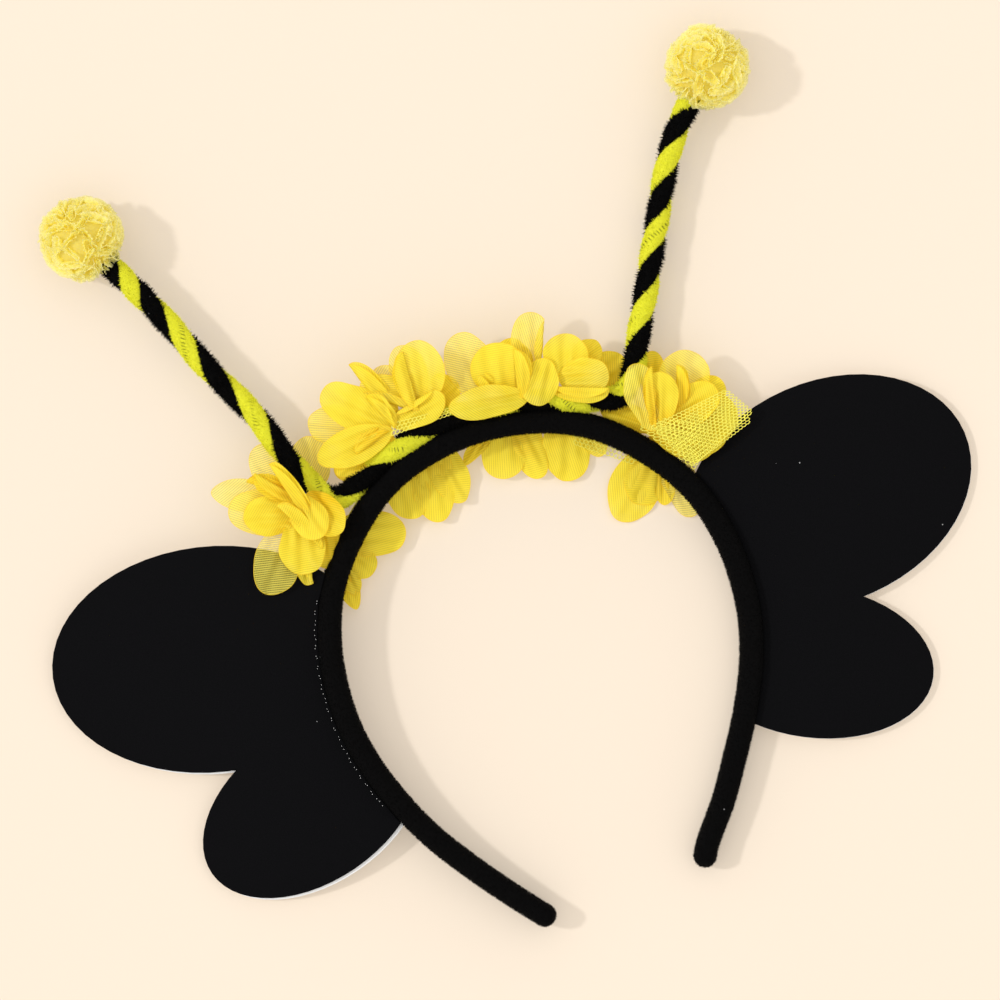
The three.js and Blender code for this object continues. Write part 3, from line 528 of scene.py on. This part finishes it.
def net_cloth(name, cover_at_rim):
    """Net seen from afar: six-sided holes between threads, with painted shade deepening its colour away
    from its free rim and in its holes, and painted light at the rim.
    """
    material, tree, shader = new_material(name)
    weave = node(tree, "ShaderNodeUVMap", uv_map="cloth").outputs[0]
    total = None
    for turn in (0, 60, 120):
        way = (math.cos(math.radians(turn)), math.sin(math.radians(turn)), 0)
        along = node(tree, "ShaderNodeVectorMath", {0: weave, 1: way}, operation="DOT_PRODUCT")
        turns = node(
            tree, "ShaderNodeMath", {0: along.outputs["Value"], 1: math.tau / TULLE_PITCH},
            operation="MULTIPLY")
        wave = node(tree, "ShaderNodeMath", {0: turns.outputs[0]}, operation="COSINE").outputs[0]
        total = wave if total is None else node(
            tree, "ShaderNodeMath", {0: total, 1: wave}, operation="ADD").outputs[0]
    threads = node(
        tree, "ShaderNodeMapRange",
        {"Value": total, "From Min": 0.3, "From Max": 1.8, "To Min": 1.0, "To Max": 0.0}).outputs[0]
    rim = node(tree, "ShaderNodeAttribute", attribute_name="rim").outputs["Fac"]
    # Painted shade: the colour deepens away from the rim, down inside the ball.
    rise = node(tree, "ShaderNodeMapRange", {"Value": rim, "From Min": 0.3}).outputs[0]
    body = blend(tree, rise, TULLE_SHADED_DEEP, TULLE_PALE)
    # Painted shade in the holes, standing for the shaded cloth further in that would show through.
    holes = node(
        tree, "ShaderNodeMapRange", {"Value": threads, "To Min": 0.7, "To Max": 0.0}).outputs[0]
    woven = blend(tree, holes, body, TULLE_SHADED_DEEP)
    # Painted highlight along the rim itself.
    edge = node(
        tree, "ShaderNodeMapRange", {"Value": rim, "From Min": 0.84, "From Max": 0.95}).outputs[0]
    tone = blend(tree, edge, woven, TULLE_LIT_RIM)
    tree.links.new(tone, shader.inputs["Base Color"])
    shader.inputs["Roughness"].default_value = 0.75
    shader.inputs["Specular IOR Level"].default_value = 0.0
    bump = node(
        tree, "ShaderNodeBump", {"Height": threads, "Strength": 0.15, "Distance": 0.2 * MM})
    tree.links.new(bump.outputs[0], shader.inputs["Normal"])
    glow = node(tree, "ShaderNodeBsdfTranslucent", {"Color": tone})
    cloth = node(tree, "ShaderNodeMixShader", {0: 0.6, 1: shader.outputs[0], 2: glow.outputs[0]})
    clear = node(tree, "ShaderNodeBsdfTransparent")
    fringe = node(
        tree, "ShaderNodeMapRange",
        {"Value": rim, "From Min": 0.7, "To Min": 1.0, "To Max": cover_at_rim}).outputs[0]
    seen = node(tree, "ShaderNodeMixShader", {0: fringe, 1: clear.outputs[0], 2: cloth.outputs[0]})
    tree.links.new(seen.outputs[0], tree.nodes["Material Output"].inputs["Surface"])
    return material


def flute(ball, direction, turn, seed, spread_share, reach_share):
    """One loop of the free edge with the cloth that narrows from it to the middle of the ball."""
    around, deep = FLUTE_GRID
    rim = ball.verts.layers.float["rim"]
    uv = ball.loops.layers.uv["cloth"]
    aim = direction.to_track_quat("Z", "Y").to_matrix() @ Matrix.Rotation(turn, 3, "Z")
    long = FLUTE_HALF_LENGTH * (0.85 + 0.5 * noise.random())
    wide = FLUTE_HALF_WIDTH * (0.5 + 1.0 * noise.random())
    reach = POMPOM_RADIUS * (0.92 + 0.09 * noise.random()) * reach_share
    bow = 2.4 * (noise.random() - 0.5)
    new = bmesh.ops.create_grid(ball, x_segments=around, y_segments=deep, size=1)["verts"]
    places = {}
    for vert in new:
        angle, depth = math.pi * (vert.co.x + 1), (vert.co.y + 1) / 2
        spread = spread_share * (0.35 + 0.65 * depth**1.25)
        ripple = 0.3 * depth**2 * math.sin(5 * angle + seed) + 0.3 * depth**3 * math.sin(17 * angle - seed)
        x = (long + ripple) * math.cos(angle)
        y = (wide + ripple) * math.sin(angle) + bow * math.cos(angle) ** 2 * depth
        out = reach * (FLUTE_ROOT + (1 - FLUTE_ROOT) * depth)
        place = aim @ Vector((x * spread, y * spread, out))
        vert.co = place * (out / place.length) * (1 + 0.03 * depth * math.sin(3 * angle + seed))
        vert[rim] = depth
        places[vert] = (angle / math.tau * 2.6 * (long + wide), depth * POMPOM_RADIUS * (1 - FLUTE_ROOT))
    for vert, place in places.items():
        for corner in vert.link_loops:
            corner[uv].uv = place


noise.seed_set(5)
tulle = net_cloth("yellow_tulle", cover_at_rim=0.7)
core_cloth = net_cloth("packed_tulle", cover_at_rim=1.0)
for side, middle, start in (("left", left_pompom_middle, 0.4), ("right", right_pompom_middle, 2.1)):
    ball = bmesh.new()
    ball.verts.layers.float.new("rim")
    ball.loops.layers.uv.new("cloth")
    for number in range(FLUTES):
        up = 1 - 2 * (number + 0.5) / FLUTES
        turn = start + number * math.pi * (3 - math.sqrt(5))
        level = math.sqrt(1 - up * up)
        direction = Vector((level * math.cos(turn), level * math.sin(turn), up))
        for spread_share, reach_share in NESTED_FLUTES:
            flute(ball, direction, 2.4 * number, 1.9 * number, spread_share, reach_share)
    bmesh.ops.remove_doubles(ball, verts=ball.verts, dist=0.001)
    area = sum(face.calc_area() for face in ball.faces) * MM**2
    pompom = finished(ball, f"{side}_tulle_pompom", tulle, leaning @ Matrix.Translation(middle))
    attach(pompom, "root")
    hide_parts(f"{side}_pompom")

    core = bmesh.new()
    core.loops.layers.uv.new("cloth")
    bmesh.ops.create_icosphere(core, subdivisions=4, radius=POMPOM_RADIUS * CORE_SHARE, calc_uvs=True)
    weave = core.loops.layers.uv["cloth"]
    for face in core.faces:
        for corner in face.loops:
            corner[weave].uv *= math.tau * POMPOM_RADIUS * CORE_SHARE
    rim = core.verts.layers.float.new("rim")
    for vert in core.verts:
        vert[rim] = CORE_TONE
        vert.co *= 1 + 0.07 * noise.noise(vert.co * 0.35)
    bundle = finished(core, f"{side}_pompom_core", core_cloth, leaning @ Matrix.Translation(middle))
    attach(bundle, "root")


# Flowers: chiffon discs cut with a hot blade, which seals a fine edge. They are folded and sewn through
# the middle to a foot on the net ribbon. Some petals stand over the stems, some show inside the band.
SEAT_OUT = BAND_THICKNESS + 2 * 0.3 + 1 + 2.2
UNDER_ROOT_HEIGHT = -0.95
UNDER_DROP = 0.12
UNDER_CLEARANCE = 1.4
CHIFFON_PALE = (1.0, 0.87, 0.14)
CHIFFON_LEMON = (1.0, 0.83, 0.05)
# CHIFFON_GOLD is the deep colour of packed cloth, and also painted shade where petals lie under others and
# in the flower's middle.
CHIFFON_GOLD = (1.0, 0.68, 0.015)
CHIFFON_EDGE = (0.93, 0.66, 0.03)
CHIFFON_PITCH = 0.67
PETAL_GRID = (24, 24)
PETAL_WAIST = 0.22
# How far a petal strays from flat, before it is scaled by how rumpled its side of the flower is
PETAL_RIPPLE = 1.3
PETAL_PLEAT = 1.7
PETAL_DENT = 2
RUMPLED = {"over": 0.45, "under": 0.4}
# How late a petal leaves its root's height for its tip's
BEND = {"over": 1.4, "under": 4}
# Each flower: its seat as a share of the band's length, its petals over the ribbon and those under the
# band. Places are x, y over the table and the height over the band's underside. Over petals: root, tip,
# breadth, layers of cloth there from 0 for sheer to 1 for packed, cup, and where an edge folds over,
# as a share of the half breadth to one side. Under petals: tip x and y, breadth and layers. Layers deepen
# the colour to gold, for packed cloth and also as painted shade where petals lie under others
FLOWERS = {
    "side_flower_left": (0.3685, (
        ((-62.5, 58, 3), (-69, 77, 3), 14, 0.2, 0.05, 0),
        ((-56, 58, 0), (-52.5, 75.5, -1.8), 14, 0.3, 0.05, 0),
        ((-64.5, 59, 6), (-86.5, 67, 6.4), 10.5, 0.2, 0.1, 0),
        ((-64, 52, 9), (-78.8, 32, 9), 15.5, 0.0, 0.03, 0),
        ((-62.4, 50, 8.5), (-65, 31, 9), 9, 0.5, 0.1, 0.3),
        ((-55.5, 50, 8), (-57.4, 34.2, 8), 11, 0.8, 0.1, 0),
        ((-61, 53, 9), (-83, 60, 10.5), 15.5, 0.3, 0.1, 0),
        ((-61, 53, 10.5), (-79, 57, 12), 13.5, 0.6, 0.15, 0),
        ((-61, 58, 10), (-75, 67.5, 13), 9, 0.9, 0.1, 0.1),
        ((-60.5, 57, 11), (-72.2, 69, 14.5), 9, 0.7, 0.2, -0.15),
        ((-61.5, 53, 11), (-66, 34.8, 12.6), 15.5, 0.5, 0.12, 0),
        ((-59, 47, 13), (-66.5, 71, 16), 9, 0.65, 0.3, 0.15),
        ((-58.2, 41, 13), (-68, 58, 16), 9, 0.45, 0.2, 0.05),
        ((-61.5, 59, 13), (-57.5, 44.5, 18), 12, 0.6, -0.3, 0),
        ((-57.5, 59, 9), (-51.5, 44, 16), 12, 0.85, 0.5, 0),
    ), (
        (-52.4, 19.2, 8, 0.9), (-51, 23.6, 8, 0.6), (-44.5, 28.6, 13, 0.7), (-31.2, 38.2, 16, 0.6),
    )),
    "crown_flower_left": (0.442, (
        ((-32, 71, 5), (-51.5, 80, 4.5), 14, 0.3, 0.1, 0),
        ((-27, 69, 1.5), (-47.5, 61, 1.5), 12, 0.9, 0.05, 0),
        ((-27, 71.5, 9), (-45, 88, 11), 15, 0.5, 0.15, 0),
        ((-27, 68, 8.6), (-47.5, 62, 9), 9, 0.75, 0.1, 0),
        ((-27, 70.5, 10), (-52, 67.5, 12), 12.5, 0.5, 0.15, 0),
        ((-28, 71, 10), (-40, 66.5, 11), 8, 0.8, 0.1, 0.2),
    ), (
        (-26.5, 41.5, 15, 0.65),
    )),
    "crown_flower_middle_left": (0.4715, (
        ((-22.5, 77, 5), (-26, 90.5, 6), 11, 0.3, 0.1, 0),
        ((-15, 78, 6), (-18.5, 95, 7), 12, 0.25, 0.1, 0),
        ((-14, 74, 5), (-4, 80.5, 6), 12, 0.8, 0.1, 0),
        ((-25.5, 71, 8), (-34.5, 93.8, 11), 12, 0.5, 0.15, 0.1),
        ((-15.5, 74, 10), (-12.8, 95.4, 13), 16, 0.4, 0.2, 0),
        ((-17.5, 74, 12), (-17.5, 93, 14), 11, 0.6, 0.1, -0.05),
        ((-11, 71, 9.5), (-32.5, 87.5, 10.5), 12, 0.45, 0.1, 0.5),
        ((-27, 72, 9.5), (-8.8, 76.5, 13), 11.5, 0.5, 0.1, 0.6),
        ((-26, 71, 11), (-32, 83, 13), 8, 0.55, 0.2, 0.2),
    ), (
        (-20.5, 38.4, 15, 0.6), (-11.5, 42.3, 13, 0.55),
    )),
    "crown_flower_middle_right": (0.5315, (
        ((4.5, 70, 6), (0, 93.7, 6), 16.5, 0.25, 0.1, 0),
        ((16, 71, 6), (14.5, 88, 8), 13, 0.8, 0.1, 0),
        ((18, 73, 9), (24.5, 94, 9), 14, 0.3, 0.1, -0.6),
        ((8, 70, 10), (10.8, 88, 13.6), 18, 0.6, 0.2, 0),
        ((13, 68, 11), (16, 84.5, 14.5), 11, 0.6, 0.1, 0.1),
        ((5, 70, 10.5), (2, 80.5, 12.5), 9, 0.6, 0.2, 0.2),
        ((17, 69.5, 12), (-8.5, 72, 14.4), 11, 0.4, 0.15, 0),
    ), (
        (2.2, 46, 16.6, 0.55), (14, 43, 12, 0.7), (-7.8, 53.5, 6, 0.9),
    )),
    "crown_flower_right": (0.575, (
        ((30, 71, 5), (42.2, 79.5, 5), 10, 0.8, 0.05, 0),
        ((33, 66, 1.5), (49, 72.3, 1.2), 13, 0.8, 0.05, 0),
        ((28.5, 70, 9), (33, 84.7, 11), 15, 0.5, 0.15, 0),
        ((27, 72, 10), (42.3, 68.5, 13), 12.5, 0.4, 0.1, 0),
        ((24, 69.5, 11), (41, 64, 13.6), 9, 0.6, 0.1, 0.2),
        ((25, 79, 12), (17.3, 66, 14), 12.5, 0.45, -0.15, 0),
    ), (
        (21.5, 39.8, 17, 0.6), (34.5, 44.5, 9, 0.5),
    )),
    "side_flower_right": (0.645, (
        ((54.5, 56, 1.2), (57.6, 72, 1.2), 9, 0.85, 0.05, 0),
        ((62, 50, 8), (76, 57.5, 8), 12, 0.6, 0.1, 0),
        ((61, 52, 8), (68, 69.5, 9), 17, 0.35, 0.2, 0),
        ((56, 46, 7.6), (68, 37.5, 7.6), 13, 0.6, 0.05, 0),
        ((53, 49, 8.4), (78, 46, 8.6), 19, 0.6, 0.08, 0),
        ((52, 47, 7.9), (73, 40.5, 8), 15, 0.6, 0.05, 0),
        ((60, 52, 10), (63.5, 66, 13), 9, 0.75, 0.2, 0.1),
        ((56, 50, 10), (73.5, 55.5, 12), 13.5, 0.6, 0.2, 0),
        ((51.5, 48, 12), (50.4, 70, 15), 12, 0.2, -0.2, 0),
        ((53, 48.5, 12), (57.5, 65.5, 15.5), 13, 0.6, 0.1, 0.6),
        ((52, 49, 12.5), (55.5, 67.7, 17), 7, 0.7, 0.1, -0.1),
        ((49, 53.5, 8), (62.3, 37, 8), 9.5, 0.8, 0.05, 0),
        ((54, 47.5, 5), (37.5, 60, 2.5), 9, 0.7, 0.05, 0),
    ), (
        (33.5, 23.7, 17.5, 0.5), (40.5, 27, 15.5, 0.65), (49, 24.3, 8, 0.9), (56.5, 18.5, 12, 0.2),
    )),
}


def chiffon_cloth():
    """Woven chiffon, sheer where there is one layer of it and deeper in colour where it is packed, a gold
    that is partly painted shade of petals lying under others.
    """
    material, tree, shader = new_material("yellow_chiffon")
    weave = node(tree, "ShaderNodeUVMap", uv_map="cloth").outputs[0]
    parts = node(tree, "ShaderNodeSeparateXYZ", {0: weave})
    ribs = []
    for axis, pitch in ((0, CHIFFON_PITCH), (1, CHIFFON_PITCH * 0.8)):
        turns = node(
            tree, "ShaderNodeMath", {0: parts.outputs[axis], 1: math.tau / pitch}, operation="MULTIPLY")
        wave = node(tree, "ShaderNodeMath", {0: turns.outputs[0]}, operation="COSINE")
        ribs.append(node(
            tree, "ShaderNodeMapRange",
            {"Value": wave.outputs[0], "From Min": -1.0, "From Max": 1.0}).outputs[0])
    weft = node(tree, "ShaderNodeMath", {0: ribs[1], 1: 0.5}, operation="MULTIPLY")
    threads = node(
        tree, "ShaderNodeMath", {0: ribs[0], 1: weft.outputs[0]}, operation="MAXIMUM").outputs[0]
    rim = node(tree, "ShaderNodeAttribute", attribute_name="rim").outputs["Fac"]
    sealed = node(
        tree, "ShaderNodeMapRange", {"Value": rim, "From Min": 0.972, "From Max": 0.992}).outputs[0]
    layers = node(tree, "ShaderNodeAttribute", attribute_name="layers").outputs["Fac"]
    place = node(tree, "ShaderNodeTexCoord").outputs["Object"]
    drift = node(tree, "ShaderNodeTexNoise", {"Vector": place, "Scale": 130.0, "Detail": 2.0})
    shade = node(
        tree, "ShaderNodeMath", {0: drift.outputs["Fac"], 1: 0.5, 2: -0.25}, operation="MULTIPLY_ADD")
    depth = node(tree, "ShaderNodeMath", {0: layers, 1: shade.outputs[0]}, operation="ADD").outputs[0]
    lemon = node(tree, "ShaderNodeMapRange", {"Value": depth, "From Min": 0.1, "From Max": 0.45})
    tone = blend(tree, lemon.outputs[0], CHIFFON_PALE, CHIFFON_LEMON)
    # The gold end is partly packed cloth and partly painted shade.
    gold = node(tree, "ShaderNodeMapRange", {"Value": depth, "From Min": 0.6, "From Max": 1.05})
    rich = blend(tree, gold.outputs[0], tone, CHIFFON_GOLD)
    slits = node(
        tree, "ShaderNodeMapRange", {"Value": threads, "To Min": 0.76, "To Max": 1.0}).outputs[0]
    ribbed = node(tree, "ShaderNodeVectorMath", {0: rich, "Scale": slits}, operation="SCALE")
    edged = blend(tree, sealed, ribbed.outputs[0], CHIFFON_EDGE)
    tree.links.new(edged, shader.inputs["Base Color"])
    shader.inputs["Roughness"].default_value = 0.6
    shader.inputs["Specular IOR Level"].default_value = 0.25
    bump = node(tree, "ShaderNodeBump", {"Height": threads, "Strength": 0.25, "Distance": 0.1 * MM})
    tree.links.new(bump.outputs[0], shader.inputs["Normal"])
    glow = node(tree, "ShaderNodeBsdfTranslucent", {"Color": edged})
    cloth = node(tree, "ShaderNodeMixShader", {0: 0.33, 1: shader.outputs[0], 2: glow.outputs[0]})
    clear = node(tree, "ShaderNodeBsdfTransparent")
    open_cover = node(
        tree, "ShaderNodeMapRange", {"Value": layers, "To Min": 0.32, "To Max": 1.0, "From Max": 0.5})
    thread_cover = node(
        tree, "ShaderNodeMapRange", {"Value": layers, "To Min": 0.8, "To Max": 1.0, "From Max": 0.5})
    cover = node(tree, "ShaderNodeMix", {"Factor": threads}, data_type="FLOAT")
    tree.links.new(open_cover.outputs[0], cover.inputs[2])
    tree.links.new(thread_cover.outputs[0], cover.inputs[3])
    whole = node(tree, "ShaderNodeMath", {0: cover.outputs[0], 1: sealed}, operation="MAXIMUM")
    seen = node(
        tree, "ShaderNodeMixShader", {0: whole.outputs[0], 1: clear.outputs[0], 2: cloth.outputs[0]})
    tree.links.new(seen.outputs[0], tree.nodes["Material Output"].inputs["Surface"])
    return material


def petal(flower, root, tip, breadth, layers, cup, fold, bend, rumple, seed):
    """A disc of chiffon drawn out from its root to its tip, cupped, folded, and rumpled by its sewing."""
    way = Vector((tip.x - root.x, tip.y - root.y, 0))
    length = way.length
    way.normalize()
    side = UP.cross(way)
    rim = flower.verts.layers.float["rim"]
    packed = flower.verts.layers.float["layers"]
    uv = flower.loops.layers.uv["cloth"]
    spin = Matrix.Rotation(seed * 1.3, 2)
    hand = math.copysign(1, fold)
    across_cells, along_cells = PETAL_GRID
    new = bmesh.ops.create_grid(flower, x_segments=across_cells, y_segments=along_cells, size=1)
    for vert in new["verts"]:
        x, y = vert.co.xy
        u = x * math.sqrt(1 - y * y / 2)
        v = y * math.sqrt(1 - x * x / 2)
        vert[rim] = math.hypot(u, v)
        along = (v + 1) / 2
        # Deeper towards the root, where the cloth gathers, and with painted shade in the flower's crowded
        # middle.
        vert[packed] = layers * (1.3 - 0.5 * along)
        half = breadth / 2 * (1 - PETAL_WAIST * (1 - along) ** 1.5)
        half *= 1 + 0.09 * noise.noise(Vector((1.5 * u, 1.5 * v, seed * 3.7)))
        across = u * half
        cut = spin @ Vector((across, along * length))
        height = tip.z + (root.z - tip.z) * (1 - along) ** bend
        height += cup * breadth / 2 * abs(u) ** 1.8 * min(1, along * 1.6)
        ripple = PETAL_RIPPLE * vert[rim] ** 3 * math.sin((3 + seed % 3) * math.atan2(u, v) + seed)
        pleat = PETAL_PLEAT * (1 - along) ** 0.6 * math.sin(10 * u + seed) * (1 - u * u)
        dent = PETAL_DENT * noise.noise(Vector((across * 0.2, along * length * 0.2, seed * 7.1)))
        height += rumple * (ripple + pleat + dent) * min(1, along * 4)
        crease = abs(fold) * half
        if fold and across * hand > crease:
            over = across * hand - crease
            across = (crease - over) * hand
            height += 0.9 * (1 - math.exp(-2 * over)) + 0.05 * over
        vert.co = root.xy.to_3d() + way * along * length + side * (across + 0.15 * ripple) + UP * height
        for corner in vert.link_loops:
            corner[uv].uv = cut


chiffon = chiffon_cloth()
for number, (name, (seat_share, over, under)) in enumerate(FLOWERS.items()):
    flower = bmesh.new()
    for layer in ("rim", "layers"):
        flower.verts.layers.float.new(layer)
    flower.loops.layers.uv.new("cloth")
    for row, (tip_x, tip_y, breadth, layers) in enumerate(under):
        seat = on_band(seat_share, SEAT_OUT, UNDER_ROOT_HEIGHT)
        drop = UNDER_DROP * (Vector((tip_x, tip_y)) - seat.xy).length / 2
        lowest = over_table(tip_x, tip_y, UNDER_CLEARANCE).z
        petal(
            flower, seat, Vector((tip_x, tip_y, max(lowest, UNDER_ROOT_HEIGHT - drop))), breadth, layers,
            cup=-0.05, fold=0, bend=BEND["under"], rumple=RUMPLED["under"],
            seed=60 + 5 * number + row)
    for row, (root, tip, breadth, layers, cup, fold) in enumerate(over):
        petal(
            flower, Vector(root), Vector(tip), breadth, layers, cup, fold, bend=BEND["over"],
            rumple=RUMPLED["over"], seed=1 + 16 * number + row)
    area = sum(face.calc_area() for face in flower.faces) * MM**2
    bloom = finished(flower, f"{name}_petals", chiffon)
    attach(bloom, "root")
    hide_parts(name)


# Net ribbon: coarse tulle gathered round the band's outer face, which the flowers are sewn to. It is
# doubled over the right flower, where its free end spreads over the wing, and its edge shows inside.
NET_CELL = 0.8
NET_THREAD = 0.26
NET_YELLOW = (1.0, 0.93, 0.12)
RIBBON_WIDTH = 4
RIBBON_SPAN = (0.362, 0.655)
RIBBON_LENGTH = 117
# The share of the net's cells that its threads cover
THREAD_SHARE = 0.42
# Patches of net by their corners over the table, counter-clockwise from the gathered one: x, y and the
# height over the band's underside, and how high the patch arches
NET_PATCHES = (
    (((60, 35, 10.5), (82.5, 45.8, 10), (76.5, 54.5, 11), (51, 50, 13)), 1.5),
    (((60.5, 35.5, 9.7), (81, 43, 9.2), (75, 52, 10), (52, 49, 12)), 1.2),
    (((52, 49.5, 12.5), (66, 40, 11), (70, 46, 12), (55, 52, 13.2)), 0.6),
    (((60.2, 34, 9.6), (62.6, 36.4, 10.4), (52.5, 50.5, 12.6), (47.2, 51.2, 10)), 0.3),
    (((28, 53, -1.2), (45, 42, -1.2), (42, 38.5, -1.6), (27, 49, -1.8)), -0.3),
    (((-27, 69.5, 10.8), (-8, 70.5, 11.5), (-8, 72.3, 12), (-26, 72.5, 11)), 0.3),
)


def add_net(net, length, width, shape):
    """Six-sided cells over a length and width, each point of which the shape puts in place."""
    patch = bmesh.new()
    across, along = NET_CELL * math.sqrt(3), NET_CELL * 1.5
    for row in range(max(1, round(width / along))):
        for column in range(max(1, round(length / across))):
            centre = Vector(((column + 0.5 * (row % 2)) * across, row * along, 0))
            bmesh.ops.create_circle(
                patch, cap_ends=True, segments=6, radius=NET_CELL, matrix=Matrix.Translation(centre))
    bmesh.ops.remove_doubles(patch, verts=patch.verts, dist=0.05)
    for vert in patch.verts:
        vert.co = shape(vert.co.x / length, vert.co.y / width)
    scratch = bpy.data.meshes.new("net_patch")
    patch.to_mesh(scratch)
    patch.free()
    net.from_mesh(scratch)
    bpy.data.meshes.remove(scratch)


def ribbon_strip(along, across):
    """The ribbon itself, against the band's outer face."""
    share = RIBBON_SPAN[0] + (RIBBON_SPAN[1] - RIBBON_SPAN[0]) * along
    return on_band(share, BAND_THICKNESS + 0.8, RIBBON_WIDTH * across)


threads, tree, shader = new_material("net_thread")
place = node(tree, "ShaderNodeTexCoord").outputs["Object"]
twist = node(tree, "ShaderNodeTexNoise", {"Vector": place, "Scale": 2500.0})
tone = blend(tree, twist.outputs["Fac"], [channel * 0.85 for channel in NET_YELLOW], NET_YELLOW)
tree.links.new(tone, shader.inputs["Base Color"])
shader.inputs["Roughness"].default_value = 0.6
net = bmesh.new()
add_net(net, RIBBON_LENGTH, RIBBON_WIDTH, ribbon_strip)
for number, (corners, arch) in enumerate(NET_PATCHES):
    low, right, far, left = (Vector(corner) for corner in corners)

    def patch(along, across):
        """A loose end of net between its corners, arched and a little uneven."""
        place = low.lerp(right, along).lerp(left.lerp(far, along), across)
        wave = 0.7 * noise.noise(Vector((place.x * 0.25, place.y * 0.25, number * 3.3)))
        return place + UP * (wave + arch * math.sin(math.pi * min(1, max(0, along))))

    add_net(net, (right - low).length, (left - low).length, patch)
area = THREAD_SHARE * sum(face.calc_area() for face in net.faces) * MM**2
ribbon = finished(net, "tulle_ribbon", threads)
wires = ribbon.modifiers.new("threads", "WIREFRAME")
wires.thickness = NET_THREAD * MM
wires.use_boundary = True
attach(ribbon, "root")
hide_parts("net_ribbon")


# Table: a plain sheet of warm white card that glows faintly of itself, painted light that keeps its
# shadows pale.
TABLE_HALF_SIZE = 2000
TABLE_TOP = -0.05
TABLE_CREAM = (0.56, 0.487, 0.41)
TABLE_PAINTED_GLOW = (0.258, 0.222, 0.179)
card, tree, shader = new_material("cream_card")
place = node(tree, "ShaderNodeTexCoord").outputs["Object"]
fibres = node(tree, "ShaderNodeTexNoise", {"Vector": place, "Scale": 300.0, "Detail": 4.0})
tone = blend(tree, fibres.outputs["Fac"], [channel * 0.99 for channel in TABLE_CREAM], TABLE_CREAM)
tree.links.new(tone, shader.inputs["Base Color"])
shader.inputs["Roughness"].default_value = 0.9
shader.inputs["Specular IOR Level"].default_value = 0.1
# Painted light: the card's own glow lifts the shadows cast on it.
shader.inputs["Emission Color"].default_value = (*TABLE_PAINTED_GLOW, 1)
shader.inputs["Emission Strength"].default_value = 1.0
top = bmesh.new()
bmesh.ops.create_grid(top, x_segments=1, y_segments=1, size=TABLE_HALF_SIZE)
table = finished(top, "table", card, Matrix.Translation(UP * TABLE_TOP))


# Light: one lamp high on the left, a wide pale ceiling and a bright room all round, so that shadows
# fall short and pale to the right. The camera looks straight down from far above.
SUN_HEIGHT = math.radians(48)
SUN_WAY = Vector((-0.919, 0.394, 0)) * math.cos(SUN_HEIGHT) + UP * math.sin(SUN_HEIGHT)
SUN_STRENGTH = 1.2
SUN_WIDTH = 4
SUN_COLOUR = (1.0, 1.0, 1.0)
CEILING_STRENGTH = 0.65
CEILING_WIDTH = 90
ROOM_STRENGTH = 0.9
ROOM_COLOUR = (1.0, 0.975, 0.93)
CAMERA_HEIGHT = 3.0
CAMERA_TURN = math.radians(-15.75)
CAMERA_OVER = Vector((-0.14, 39.81)) * MM
PHOTO_PIXELS = 1000
PIXELS_PER_MM = 3.2

for name, strength, width, colour, way in (
        ("window", SUN_STRENGTH, SUN_WIDTH, SUN_COLOUR, SUN_WAY),
        ("ceiling", CEILING_STRENGTH, CEILING_WIDTH, ROOM_COLOUR, UP)):
    lamp = bpy.data.lights.new(name, "SUN")
    lamp.energy = strength
    lamp.angle = math.radians(width)
    lamp.color = colour
    fitting = bpy.data.objects.new(name, lamp)
    fitting.rotation_euler = way.to_track_quat("Z", "Y").to_euler()
    bpy.context.scene.collection.objects.link(fitting)

room = bpy.data.worlds.new("room")
room.use_nodes = True
bpy.context.scene.world = room
air = room.node_tree.nodes["Background"]
air.inputs["Color"].default_value = (*ROOM_COLOUR, 1)
air.inputs["Strength"].default_value = ROOM_STRENGTH

lens = bpy.data.cameras.new("camera")
lens.lens = lens.sensor_width * CAMERA_HEIGHT / (PHOTO_PIXELS / PIXELS_PER_MM * MM)
camera = bpy.data.objects.new("camera", lens)
camera.location = (*CAMERA_OVER, CAMERA_HEIGHT)
camera.rotation_euler = (0, 0, CAMERA_TURN)
bpy.context.scene.collection.objects.link(camera)
bpy.context.scene.camera = camera
bpy.context.scene.view_settings.view_transform = "Standard"
